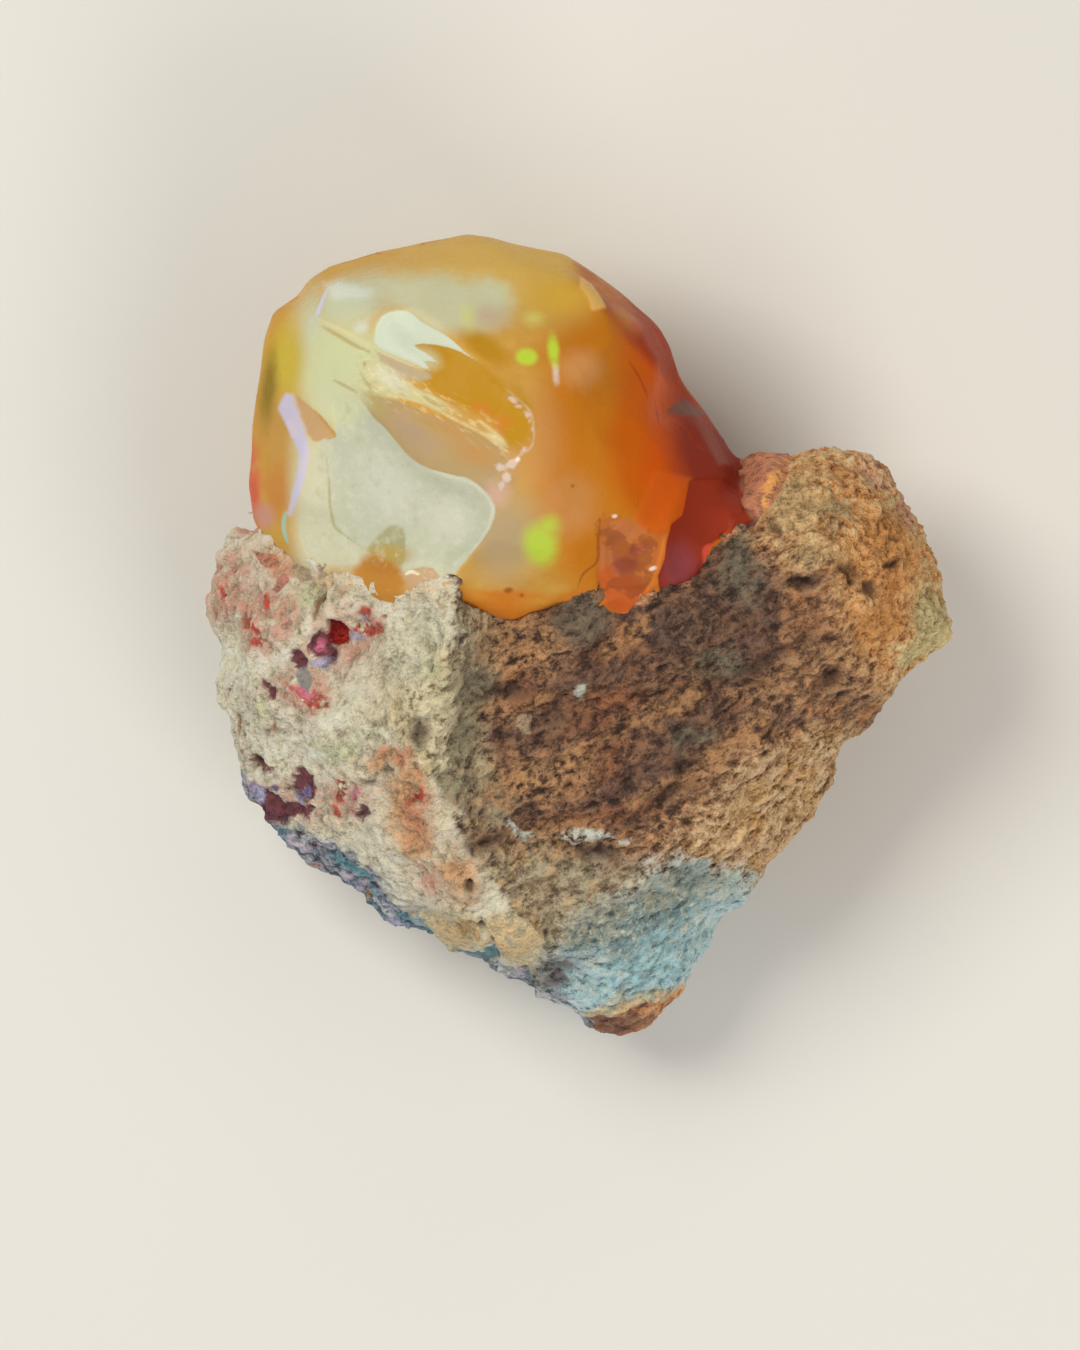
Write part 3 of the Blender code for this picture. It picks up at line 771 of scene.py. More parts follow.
               (1.6, -0.8, 1.6, 0.9, 25), (15.2, 7.8, 0.7, 0.9), (11.4, 3.6, 1.2, 0.7, 40),
               (-3, -0.6, 0.9, 0.5, 20), (-2.8, 1.2, 1.4, 0.6, 30), (1.5, 2.2, 1.2, 0.6, 40)]),
    tanRidges=patch(
        (172, 130, 90), 0.3, 0.9, 0.75, kind="wisps", rise=0.14,
        lines=[(0.4, (1.6, -1.9), (3.5, -1.3), (5.4, -0.5), (6.4, 0.1)),
               (0.35, (-4.4, -5.7), (-1.4, -4.2), (1.6, -2.4)),
               (0.35, (1.1, 1.5), (2, 2.4), (3.1, 3.2), (3.6, 4.2)),
               (0.35, (-4, 0.7), (-2.9, 1.2), (-1.3, 2.1), (-0.8, 3)),
               (0.3, (-3.2, -0.8), (-2.2, -0.6), (-1.4, 0.2)),
               (0.4, (2, -5.6), (4.4, -5), (7, -3.4), (9, -1.6)),
               (0.3, (7, -0.2), (8.6, 0.4), (10.4, 1.6))]),
    tanPatches=patch(
        (186, 144, 102), 0.6, 1, 0.6, kind="wisps",
        spots=[(-2.6, 2.2, 1.8, 1.3), (-4.2, 2.4, 1, 1.4), (-1.8, -4.4, 2.4, 1.2, 10),
               (-1.6, -7.4, 2.6, 0.8, 5), (-4.2, -1, 0.9, 0.8), (13.4, 0.8, 1.4, 1)]),
    olivePatch=patch((216, 184, 134), 0.6, 0.6, 0.9, spots=[(10.6, 9.2, 1.4, 1.7), (11.6, 7, 1, 0.7)]),
    shoulder=patch(
        (172, 114, 86), 0.1, 0.15, gloss=0.5, smooth=1,
        outlines=[[(8.1, 11.5), (9, 11.9), (10.6, 12.4), (10.35, 10.7), (9.8, 9.6), (8.75, 8.45),
                   (8, 9.1), (7.9, 10.25)]]),
    shoulderDark=patch(
        (112, 56, 50), 0.1, 0.2, 0.9, rise=-0.25,
        outlines=[[(7.6, 8.9), (8.2, 8.4), (8.7, 8.5), (8.1, 9.3), (7.8, 9.7)]]),
    shoulderRim=patch(
        (212, 152, 84), 0.2, 0.4, 0.9, kind="wisps",
        lines=[(0.34, (10.5, 12), (10, 10.9), (9.5, 10.1), (8.9, 8.8))]),
    seatRose=patch(
        (206, 150, 112), 0.15, 0.4, 0.85, kind="wisps",
        lines=[(0.36, (2.4, 4), (3.4, 4.8), (3.8, 5.1)), (0.3, (4.6, 5.2), (5.7, 5.4)),
               (0.3, (7, 7.4), (7.6, 8.2))]),
    roseRim=patch(
        (216, 168, 142), 0.4, 0.7, 0.75, kind="wisps",
        spots=[(16.6, 9, 0.9, 1.6, -20), (11.9, 12.1, 0.9, 0.5), (14.6, 11, 1.1, 0.5, -35)]),
    yellowTip=patch(
        (255, 240, 178), 0.6, 0.9, 0.85,
        spots=[(17.4, 3.2, 1.2, 1.9), (16.6, 1.8, 1.1, 0.9)]),
    lobeOrange=patch(
        (255, 180, 104), 0.6, 1.2, 0.8, kind="wisps",
        spots=[(15.2, 6.6, 2, 2.2), (14.8, 3.4, 1.4, 1.4)]),
    knob=patch((118, 104, 88), 0.4, 1, 0.75, rise=0.2, spots=[(0.1, 3.5, 1.3, 1.3)]),
    tealBright=patch(
        (196, 246, 255), 0.6, 1.4, 0.85,
        spots=[(3.6, -13.6, 2, 1.3, 25), (5.4, -10.6, 1.4, 0.7, 20), (1.6, -14.4, 1.4, 0.6),
               (2.6, -11.4, 1, 0.4, 15)]),
    tealShade=patch(
        (108, 130, 128), 0.5, 0.8, 0.8,
        spots=[(3.9, -10.8, 1.7, 1, 10), (0.4, -12.4, 1.2, 0.7, 30), (1.8, -10.9, 1.3, 0.5, 10),
               (5.4, -9.4, 1.2, 0.6), (2.3, -12.2, 1.3, 0.8, 20)]),
    tealVeins=patch(
        (222, 230, 216), 0.3, 0.4, 0.8, kind="flecks",
        spots=[(3.4, -11.8, 3.6, 2.4, 20), (0.6, -13.4, 2.4, 1.8)]),
    tealTan=patch(
        (186, 168, 128), 0.5, 1.6, 0.4, kind="wisps",
        spots=[(0.6, -11.6, 1.6, 1, 20), (3.6, -9.8, 1.6, 0.8, 10), (6.6, -10, 1.2, 0.7)]),
    yellowCream=patch(
        (240, 228, 180), 0.3, 0.5, 0.8,
        spots=[(1.4, -16, 0.9, 0.3, 20), (3.2, -15.3, 0.9, 0.25, 15)]),
    # a sunk hollow, coloured darker
    mudHollow=patch(
        (110, 96, 96), 0.25, 0.5, 0.85, rise=-0.3,
        spots=[(-1.2, -13.8, 0.8, 0.3), (-1.2, -14.6, 0.5, 0.6, 20)]),
    chips=patch(
        (196, 200, 188), 0.08, 0.15, 0.85, rise=0.14, smooth=0.6,
        outlines=[[(-0.3, 0.3), (0.3, 0.4), (0.2, -0.1), (0, -0.4), (-0.3, -0.2)]]),
    chipTan=patch(
        (172, 150, 122), 0.08, 0.15, 0.85, rise=0.1, smooth=0.8,
        outlines=[[(-3.1, -1.1), (-2.4, -1.2), (-2.5, -2.1), (-2.8, -2.2), (-3.2, -1.7)]]),
    streaks=patch(
        (194, 200, 190), 0.12, 0.4, 0.85, rise=0.08, kind="wisps",
        lines=[(0.22, (-4.1, -6.6), (-3.3, -6.95), (-2.3, -7.3)),
               (0.22, (-1.2, -7.1), (-0.4, -7.2), (0.6, -7.4), (1.7, -7.3), (2.9, -7.4)),
               (0.2, (-6.2, -5.9), (-5.5, -6)), (0.16, (2, -11), (2.4, -11.4), (2.7, -11.1))]),
    holes=patch(
        (72, 54, 48), 0.25, 0.5, 0.85, rise=-0.4,
        spots=[(13.35, 5.7, 0.28, 0.6, 15), (13.7, 6, 0.36, 0.2, -30),
               (14.25, 4.95, 0.28, 0.36, -30), (15.8, 6.35, 0.36, 0.2), (11.1, 5.4, 0.8, 0.36, 10),
               (9.2, 1.3, 1.4, 0.22, 28), (8.4, 0.45, 0.6, 0.22, 10), (4.4, -5.2, 0.7, 0.18, 20),
               (-4.1, 0.05, 0.8, 0.22, -12), (-4.6, -7.6, 0.7, 0.24, 20), (0.8, -8.1, 0.6, 0.2),
               (5.5, -2.5, 0.36, 0.16, 30), (-8, -2.2, 0.4, 0.8), (9.6, 8, 0.12, 0.4, 40),
               (12.4, 0.6, 0.6, 0.2, 42)]),
    tipCore=patch((126, 90, 78), 0.3, 0.6, 0.85, spots=[(2, -16.8, 1.7, 0.6, 5)]),
)


def seatGrains(surface, opalTree):  # grains that climb the opal's edge, each overlapping the next
    rockTree = surface.tree()
    line = smoothLine(seat["line"], 6)
    lengths = np.append(0, np.cumsum(np.linalg.norm(np.diff(line, axis=0), axis=1)))
    grains = []
    for along in np.arange(0, lengths[-1], seat["pitch"]):
        x, y = (np.interp(along, lengths, line[:, axis]) for axis in (0, 1))
        ahead = [np.interp(along + seat["ahead"], lengths, line[:, axis]) for axis in (0, 1)]
        slope = math.atan2(ahead[1] - y, ahead[0] - x)
        reach = seat["uneven"] * noise.noise((1.3 * along, 0.5, 0.5))
        for number, (out, radius) in enumerate(seat["rows"]):
            jitter = [noise.noise((2.3 * along, 1.7 * number, shift)) for shift in (0.3, 9.1, 17.7)]
            size = radius * (1 + seat["uneven"] * jitter[0])
            off = out + size * 0.8 + reach + seat["astray"] * jitter[1]
            spot = (x + off * math.sin(slope), y - off * math.cos(slope))
            height = topAt(opalTree, *spot, -1)
            if height > max(0, topAt(rockTree, *spot, 0) - seat["cover"]):
                grains.append(((*spot, height - seat["sunk"] * size), size, 0.7 + 0.3 * jitter[2]))
    pitch = seat["crust"] * 0.9
    for x, y in itertools.product(*(np.arange(*span, pitch) for span in seat["shoulderBox"])):
        spot = np.array([[x, y]]) + 0.4 * noise.noise((2 * x, 2 * y, 0.5))
        height = topAt(opalTree, *spot[0], -1)
        if inside(spot, seat["shoulder"])[0] > 0 and height > 0:
            grains.append(((*spot[0], height - 0.3 * seat["crust"]), seat["crust"], 1))
    for point in surface.points.tolist():
        near, normal = opalTree.find_nearest(Vector(point), seat["seam"])[:2]
        if near is None or noise.noise(Vector(point) * 2.1) < seat["bare"]:
            continue
        if rockTree.ray_cast(near + normal * 0.7, normal, 4)[0] is None:
            grains.append((np.array(point), seat["around"] * (1 + noise.noise(Vector(point))), 0.8))
    return grains


def runLumps(points, zone):  # lumps that run along the zone's slope
    turned = turnedBy(points, rock["slopes"][zone], 1)
    total = np.zeros(len(points))
    fine = np.zeros(len(points))
    for number, (kind, size, height, length) in enumerate(rock["layers"][zone]):
        shape = dict(rough=rough, crumbs=crumbs)[kind]
        layer = lumps(turned / (length, 1, 1), size, shape, 11.3 * number)
        total += layer * height
        if number:
            fine += layer
    return total, fine


def shapeRock(surface, opalTree):
    bent = bend(surface.points, rock["pulls"])
    outlined = {name: zone["outline"] for name, zone in rockZones.items() if "outline" in zone}
    zones = {name: inside(bent[:, :2], outline) for name, outline in outlined.items()}
    rise, fine = runLumps(bent, "brown")
    for name in ("lobe", "teal", "cream"):
        share = step(zones[name], -rock["blend"], rock["blend"])
        own, ownFine = runLumps(bent, name)
        rise = rise * (1 - share) + own * share
        fine = fine * (1 - share) + ownFine * share
    tree = surface.tree()
    fields = {}
    for name, mark in rockMarks.items():
        fields[name] = surface.drawn(tree, mark, surface.points if "smooth" in mark else bent)
        if "smooth" in mark:
            kept = 1 - mark["smooth"] * step(fields[name], -rock["smoothEdge"], rock["smoothEdge"])
            rise *= kept
            fine *= kept
        if "rise" in mark:
            rise = rise + mark["rise"] * step(fields[name], -mark["edge"], mark["edge"])
    rise *= step(surface.points[:, 2], *rock["foot"])
    near = np.array([opalTree.find_nearest(Vector(p))[3] for p in surface.points.tolist()])
    surface.push(rise * (0.5 + 0.5 * step(near, rock["calm"], rock["hug"])))
    for name, field in (zones | fields).items():
        surface.store(name, field)
    surface.store("relief", fine)


def rockMaterial():
    material, place, shader = newMaterial("volcanic rock")
    skin = rock["skin"]
    bent = place.swirl(*skin["swirl"])
    mid = bent.grain(*skin["mid"])
    run = place.turned(*skin["slope"])
    curls = 0.12 - abs(run.grain(*skin["curls"]))  # thin raised lines
    fine = run.grain(*skin["fine"]) * 0.8 + curls
    grit = place.grain(*skin["grit"])
    tone = place.stored("relief") * 0.24 + mid * 0.5 + fine * 1.7 + grit * 0.8 + skin["middle"]
    light = tone.soften(0.05, 0.98)

    def shaded(colour, use):  # darker in the hollows, lighter on the crests: partly the rock's own colour, partly painted shade and painted light
        return light.mix(*(tinted(colour, share) for share in skin["shades"][use]))

    waver = mid * 0.8 + fine * 1.1
    clouds = [bent.grain(*skin["clouds"]).soften(-0.02, 0.14), mid.soften(0.0, 0.14)]
    kinds = {
        "flecks": bent.grain(*skin["flecks"]).soften(0.02, 0.07),
        "wisps": (mid * 0.7 + fine).soften(-0.12, 0.08),
    }
    colour = None
    for name, zone in rockZones.items():
        own = tone.ramp([(at, srgb(shade)) for at, shade in zip(skin["tones"], zone["colours"])])
        for cloud, tint in zip(clouds, zone["tints"]):
            own = (cloud * 0.7).mix(own, shaded(tint, "zone"))
        if colour is None:
            colour = own
            continue
        colour = place.stored(name).covers(zone, waver).mix(colour, own)
    gloss = 0.0
    for name, mark in rockMarks.items():
        cover = place.stored(name).covers(mark, waver)
        if "kind" in mark:
            cover = cover * kinds[mark["kind"]]
        colour = cover.mix(colour, shaded(mark["colour"], "mark"))
        if "gloss" in mark:
            gloss = cover * mark["gloss"] + gloss
    flat = place.stored("shoulder").soften(-0.2, 0.2) * 0.8
    plug(shader, {
        "Base Color": colour,
        "Roughness": skin["roughness"] - gloss * skin["polish"],
        "Specular IOR Level": 0.35,
        "Normal": ((fine + grit * 0.4) * (1 - flat)).bump(skin["bump"]),
    })
    return material


def makeRock(opalTree):
    surface = Surface("volcanicRock", "matrix", rock)
    surface.closeUp(opalTree, rock["hug"], rock["overlap"], rock["grip"])
    grains = seatGrains(surface, opalTree)
    surface.addGrains(grains)
    surface.even(rock["wear"])
    surface.refine(treeOf(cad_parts["opal"].data))
    shapeRock(surface, opalTree)
    surface.piece.data.materials.clear()
    surface.piece.data.materials.append(rockMaterial())
    surface.finish("matrix")
    say(f"rock, {len(surface.points)} points, {len(grains)} seat grains")


opal = dict(
    spacing=0.24,
    wear=2,
    rim=9.4,
    roughness=0.26,
    gloss=0.02,
    transmission=0.06,
    ior=1.36,
    innerGlow=0.11,  # how much of its own colour the stone emits everywhere: a painted glow standing in for light given back from inside
    depthColour=(236, 132, 44),
    depth=300,  # absorption per metre
    # layers of relief: size, height, and the degrees they run at and how far they are drawn out
    swell=(3.2, 0.1),
    splinters=(1.1, 0.07, 60, 1.8),
    crumbs=(0.3, 0.16),
    fan=(0.5, 0.018, -31, 9),
    hackles=(0.26, -31, 10),  # the fan's fine lines, size and run
    body=[(200, 158, 76), (190, 140, 58)],
    hackleColours=[(236, 224, 176), (176, 132, 72)],
    scarColours=[(206, 208, 188), (166, 164, 126)],
)

# what shows in and on the stone, laid one over the other
opalMarks = dict(
    top=patch((204, 170, 92), 2, 0.3, 0.9, spots=[(-3.5, 20.8, 6.5, 2.6)]),
    topGold=patch(
        (206, 164, 60), 0.9, 0.3, 0.9,
        spots=[(-0.8, 19.5, 1.6, 1.2), (-1.8, 21.4, 1.6, 0.6, -20)]),
    amber=patch(
        (186, 114, 28), 1.2, 0.2,
        outlines=[[(-1.6, 17.4), (0.2, 18.6), (0.9, 19.6), (0.2, 20.4), (3, 22), (14, 14), (10, 4),
                   (1.5, 2), (-1, 6), (-2.2, 10), (-2.2, 13)]]),
    orange=patch(
        (188, 92, 18), 0.8, 0.15,
        outlines=[[(1.9, 18.2), (2, 16), (1.8, 14), (1.3, 12.5), (1.7, 10.5), (2.2, 9.4), (3.5, 8),
                   (10, 6), (14, 14), (6, 20), (2, 19.2)]]),
    fire=patch(
        (194, 82, 16), 0.7, 0.15,
        outlines=[[(2.9, 17.6), (3.2, 15), (3.2, 12), (3, 10.4), (4, 9), (12, 6), (14, 14), (5, 19)]]),
    emberRed=patch(
        (168, 64, 22), 0.6, 0.15,
        outlines=[[(4.3, 15.6), (4.2, 13), (4.4, 11.4), (4.4, 10.4), (12, 6), (14, 13), (6, 16)]]),
    wine=patch(
        (132, 46, 30), 0.5, 0.15,
        outlines=[[(5.09, 15.02), (5.71, 14.21), (6.79, 13.32), (8.6, 12.6), (9.6, 11.2), (8.6, 9.6),
                   (7.5, 9.57), (5.4, 9.9), (5.45, 10.46), (4.9, 11.89), (4.8, 13.14)]],
        spots=[(8.8, 8.4, 1.6, 1.5)]),
    shoulder=patch(
        (150, 96, 70), 0.12, 0.12,
        outlines=[[(8.2, 11.6), (9, 12.1), (12, 13), (12, 10), (10, 8.4), (8.6, 8.4), (8.05, 9.1),
                   (7.95, 10.25)]]),
    rightBand=patch(
        (150, 44, 0), 0.35, 0.1, 0.9,
        outlines=[[(-0.2, 21.3), (1.3, 20.7), (2.8, 19.9), (3.8, 19.2), (4.5, 18.2), (5.2, 16.6),
                   (5.2, 15.6), (4.3, 15.6), (3.57, 16.18), (2.59, 17.25), (2.05, 17.96),
                   (1.25, 18.86), (0.8, 19.57)]]),
    bandTop=patch(
        (186, 110, 34), 0.6, 0.2, 0.9,
        spots=[(1.2, 20.1, 1.4, 0.7, -35), (2.2, 18.6, 0.9, 0.8, -40)]),
    bandLow=patch((146, 48, 10), 0.5, 0.2, 0.8, spots=[(4.7, 16.2, 1, 0.9, -60)]),
    pinkPatch=patch((206, 158, 106), 0.6, 0.3, 0.5, spots=[(0, 15.9, 1.1, 0.9)]),
    milk=patch((192, 144, 94), 0.8, 0.3, 0.45, spots=[(-2.2, 12, 1.3, 2.8), (-0.8, 9.2, 1.6, 1.6)]),
    greyTan=patch(
        (172, 152, 116), 1.1, 0.3, 0.95,
        spots=[(-3.8, 7.6, 1.6, 2.2), (-4.6, 9.9, 1.2, 1.3, -30)]),
    lilacPink=patch(
        (202, 166, 146), 0.5, 0.3, 0.8,
        spots=[(-4.1, 9.7, 0.6, 0.6), (-3.4, 12.4, 0.6, 0.9)]),
    # a pale patch at the top: painted reflection of the overhead softbox
    haze=patch(
        (198, 201, 168), 0.7, 0.4, 0.9,
        outlines=[[(-9.8, 20.3), (-8.6, 20.6), (-7, 20.8), (-5.8, 20.4), (-4.6, 20.5), (-3.8, 20),
                   (-3.4, 19.2), (-3.7, 18.3), (-4.8, 17.8), (-5.8, 17.7), (-7.4, 17.6),
                   (-8.4, 18.4), (-9.4, 19.2)]]),
    mint=patch(
        (196, 204, 168), 0.4, 0.4, 0.5,
        spots=[(-4.1, 19.9, 0.7, 0.5), (-6.4, 19.6, 0.9, 0.4, -10)]),
    dusk=patch((192, 168, 140), 0.5, 0.4, 0.8, spots=[(-4.5, 18.5, 0.9, 0.5)]),
    frostTop=patch(
        (192, 202, 176), 0.9, 0.5, 0.9,
        spots=[(-11.4, 19.4, 2.2, 1.3, 20), (-13.3, 18, 0.9, 2)]),
    lemon=patch(
        (196, 201, 158), 1.1, 0.3,
        spots=[(-11.6, 15.9, 2.4, 2.4), (-10, 17, 1.6, 0.9, -20), (-13.2, 15.4, 0.9, 1.4)]),
    gold=patch((193, 170, 62), 0.6, 0.25, spots=[(-14.7, 16.2, 0.9, 2, -8)]),
    leftAmber=patch(
        (188, 144, 72), 0.6, 0.25,
        spots=[(-15.1, 12.6, 0.9, 2.2, 8), (-14.8, 11, 0.7, 1.2), (-15.2, 19, 0.6, 0.5)]),
    leftShade=patch((140, 114, 34), 0.3, 0.2, spots=[(-15.5, 15, 0.4, 1.7, -5)]),
    leftOrange=patch((192, 130, 60), 0.5, 0.3, 0.95, spots=[(-15.1, 9.9, 0.8, 1.3)]),
    leftRed=patch(
        (202, 92, 70), 0.35, 0.3, 0.95,
        spots=[(-16.4, 9.8, 0.5, 1.7, 5), (-16.5, 11.6, 0.3, 0.8)]),
    leftPink=patch((194, 140, 124), 0.4, 0.3, 0.9, spots=[(-15.8, 8.7, 0.7, 0.6)]),
    honey=patch(
        (181, 134, 36), 0.35, 0.2,
        outlines=[[(-8.2, 17.1), (-7.2, 17.1), (-6, 16.8), (-4.9, 16.2), (-4.2, 15.6), (-3.6, 14.9),
                   (-3.5, 13.8), (-4.2, 13.3), (-5.4, 13.7), (-7, 14.5), (-7.8, 15.1), (-7.8, 15.7),
                   (-7.5, 16.1), (-7.8, 16.3), (-7, 16.2)]],
        spots=[(-3.2, 13.2, 0.9, 1.6), (-4.7, 16.9, 1.3, 0.6, -35)]),
    ember=patch(
        (205, 118, 48), 0.3, 0.3, 0.5,
        spots=[(-4.9, 13.85, 0.6, 0.4, -25), (-3.9, 13.2, 0.5, 0.4)]),
    mauve=patch(
        (180, 165, 138), 0.12, 0.1, 0.85,
        outlines=[[(-10.22, 16.85), (-9.58, 16.58), (-8.78, 16.22), (-8.06, 15.9), (-7.51, 15.7),
                   (-7.35, 15.42), (-7.98, 15.26), (-8.62, 15.5), (-9.26, 15.82), (-9.9, 16.3)]]),
    mauvePale=patch((196, 192, 150), 0.3, 0.2, 0.7, spots=[(-7.7, 16.4, 0.8, 0.5, -20)]),
    creamBand=patch(
        (200, 194, 146), 0.08, 0.06, 0.95, rise=0.05,
        outlines=[[(-10.7, 16.54), (-9.82, 15.98), (-8.94, 15.42), (-7.98, 14.93), (-7.03, 14.45),
                   (-6.23, 13.97), (-5.43, 13.43), (-4.64, 12.95), (-3.84, 12.39), (-3.52, 11.95),
                   (-4.32, 12.35), (-5.11, 12.83), (-5.99, 13.25), (-6.87, 13.68), (-7.83, 14.13),
                   (-8.62, 14.37), (-9.42, 14.5), (-10.22, 14.62), (-10.42, 15.1), (-10.7, 15.9)]]),
    bandPale=patch((210, 210, 190), 0.3, 0.2, 0.8, spots=[(-9.4, 15.4, 0.9, 0.4, -31)]),
    bandHoney=patch((190, 146, 68), 0.3, 0.3, 0.9, spots=[(-5.5, 13.3, 1.3, 0.45, -31)]),
    tanFacet=patch(
        (172, 149, 108), 0.08, 0.05, 0.95, rise=-0.05,
        outlines=[[(-11.01, 14.7), (-10.22, 14.6), (-9.1, 14.34), (-8.38, 14.06), (-7.59, 13.67),
                   (-6.71, 13.35), (-5.59, 12.87), (-4.64, 12.39), (-3.84, 11.83), (-3.7, 11.11),
                   (-4.48, 10.5), (-6.23, 10.4), (-7.19, 10.7), (-8.14, 11.2), (-9.26, 12.4),
                   (-9.9, 13), (-10.54, 13.7), (-11.01, 14.2)]]),
    tanOlive=patch((170, 158, 104), 0.4, 0.2, 0.9, spots=[(-10.5, 14.3, 0.9, 0.5, -35)]),
    tanMauve=patch((168, 145, 116), 0.4, 0.2, 0.9, spots=[(-8.3, 12.7, 1.2, 0.5, -40)]),
    tanWarm=patch(
        (184, 140, 82), 0.5, 0.2, 0.85,
        spots=[(-6.4, 12.8, 1.6, 0.4, -28), (-5.2, 11.7, 1.2, 0.6, -20)]),
    scarWarm=patch(
        (196, 190, 142), 0.8, 0.3, 0.95,
        spots=[(-13.1, 9.4, 0.9, 3.2), (-10.6, 6.4, 2.6, 0.9)]),
    # the great scar: a flat fracture face, pale partly in its own milky colour and partly as a painted
    # reflection of a softbox
    greatScar=patch(
        (184, 187, 166), 0.06, 0.03, rise=-0.07, curved=True,
        outlines=[[(-12.96, 12.44), (-12.35, 12.5), (-12.2, 13.2), (-12.3, 14.2), (-11.6, 14.6),
                   (-11, 14.4), (-10.36, 13.51), (-9.75, 12.97), (-9.14, 12.29), (-8.6, 11.67),
                   (-8.07, 11.21), (-7.45, 10.91), (-6.77, 10.72), (-6.08, 10.56), (-5.67, 10.5),
                   (-5.16, 10.19), (-4.55, 9.58), (-4.24, 8.97), (-4.35, 8.36), (-4.65, 7.74),
                   (-5.16, 7.03), (-5.98, 6.01), (-6.59, 5.4), (-8, 5.3), (-9.5, 5.9), (-11.5, 6.1),
                   (-13.3, 6.5), (-13.9, 7.6), (-13.9, 9), (-13.5, 10.3), (-13.3, 11.6)]]),
    scarTop=patch((198, 201, 164), 0.7, 0.2, spots=[(-12, 14.2, 1.3, 1.2)]),
    scarWest=patch(
        (200, 199, 168), 0.7, 0.15, 0.8,
        outlines=[[(-14.2, 6.2), (-14.2, 12.6), (-12.7, 12.6), (-12.5, 10.6), (-12.4, 8.4),
                   (-11.6, 7.3), (-10.6, 6.7), (-8.9, 6.2), (-7, 6.2), (-6.2, 5.6), (-8, 5),
                   (-12, 5.4)]]),
    scarRim=patch(
        (222, 224, 208), 0.1, 0.1, 0.35,
        lines=[(0.13, (-7.4, 10.8), (-6.1, 10.45), (-5.2, 10.1), (-4.55, 9.5), (-4.32, 8.95),
                (-4.45, 8.3), (-4.75, 7.7), (-5.3, 7))]),
    scarSheen=patch(
        (200, 202, 186), 0.9, 0.2, 0.6,
        spots=[(-9.8, 10.2, 1.8, 1.2, -40), (-6.6, 8.6, 1.2, 1)]),
    crack=patch(
        (164, 156, 104), 0.05, 0.02, 0.7, rise=-0.03,
        lines=[(0.08, (-12.62, 11.67), (-12.52, 10.6), (-12.47, 9.38), (-12.35, 8.38), (-12.18, 8),
                (-11.59, 7.54), (-10.59, 6.85))]),
    shade=patch(
        (160, 157, 118), 0.12, 0.05, 0.95, rise=-0.05,
        outlines=[[(-10.67, 6.93), (-10.21, 7.54), (-9.9, 7.85), (-9.52, 8.14), (-9.14, 8.15),
                   (-8.83, 7.96), (-8.74, 7.54), (-8.74, 6.93), (-8.76, 6.32), (-9.6, 6.09),
                   (-10.36, 6.47)]]),
    shadeLow=patch((178, 152, 80), 0.3, 0.15, 0.9, spots=[(-9.6, 6.7, 1.1, 0.5)]),
    stain=patch(
        (178, 116, 38), 0.25, 0.45, 0.95,
        outlines=[[(-11.2, 5.9), (-10.9, 6.5), (-10.36, 6.74), (-9.6, 6.47), (-8.98, 6.1),
                   (-8.7, 5.4), (-9, 4.4), (-11.2, 4.6)]]),
    stainThin=patch(
        (186, 134, 62), 0.4, 0.9, 0.55,
        outlines=[[(-13.2, 6), (-11, 6), (-8.4, 5.6), (-7, 5.2), (-7.2, 3.8), (-10, 3.8), (-13.4, 5)]]),
    leaf=patch(
        (190, 156, 120), 0.06, 0.02, 0.95, rise=0.05,
        outlines=[[(-8.83, 5.7), (-8.37, 5.98), (-7.76, 6.1), (-7.3, 6.05), (-6.95, 5.63), (-7.6, 5),
                   (-8.3, 5.1)]]),
    leafLine=patch(
        (238, 226, 200), 0.05, 0.02, 0.9,
        lines=[(0.09, (-8.72, 5.69), (-8.37, 5.86), (-7.87, 5.69))]),
    # the small scar: a fracture face, pale partly in its own colour and partly as a painted reflection
    # of a softbox
    smallScar=patch(
        (202, 212, 193), 0.05, 0.02, rise=-0.1,
        outlines=[[(-10.14, 18.13), (-9.9, 18.53), (-9.5, 18.77), (-8.94, 18.86), (-8.54, 18.78),
                   (-8.22, 18.53), (-7.83, 18.21), (-7.35, 17.93), (-6.79, 17.65), (-6.31, 17.29),
                   (-5.67, 16.7), (-4.88, 16.16), (-5.43, 16.44), (-5.99, 16.76), (-6.55, 16.97),
                   (-7.19, 17.11), (-7.83, 17.19), (-8.26, 17.13), (-8.06, 16.93), (-7.67, 16.7),
                   (-6.99, 16.19), (-7.43, 16.28), (-7.79, 16.3), (-7.39, 15.8), (-7.83, 15.96),
                   (-8.3, 16.18), (-8.86, 16.42), (-9.42, 16.66), (-9.9, 16.89), (-10.22, 17.17),
                   (-10.22, 17.57)]]),
    ridges=patch(
        (218, 204, 156), 0.06, 0.03, 0.6, rise=0.03,
        lines=[(0.1, (-13.09, 18.45), (-12.21, 18.05), (-11.57, 17.73), (-10.85, 17.33),
                (-10.06, 16.97)),
               (0.09, (-7.03, 13.79), (-5.43, 12.99), (-3.84, 12.11)),
               (0.08, (-5.19, 13.43), (-4.4, 12.87), (-3.6, 12.2)),
               (0.09, (-4.64, 12.61), (-4.2, 12.25), (-3.5, 11.7)),
               (0.08, (-10.2, 16.9), (-8.8, 16.3), (-7.6, 15.8))]),
    furrows=patch(
        (172, 144, 82), 0.06, 0.03, 0.6, rise=-0.04,
        lines=[(0.1, (-12.93, 18.13), (-11.97, 17.57), (-11.17, 17.09), (-10.3, 16.7)),
               (0.1, (-7.87, 14.62), (-7.35, 14.26), (-6.71, 13.98)),
               (0.08, (-10.97, 15.82), (-10.77, 15.5), (-10.54, 15.18), (-10.38, 14.82)),
               (0.09, (-12.37, 15.42), (-11.65, 15.06), (-11.01, 14.7)),
               (0.08, (-8.6, 13.6), (-7.4, 13.1), (-6.2, 12.6))],
        spots=[(-10.7, 16.2, 0.12, 0.12)]),
    pinkFacet=patch(
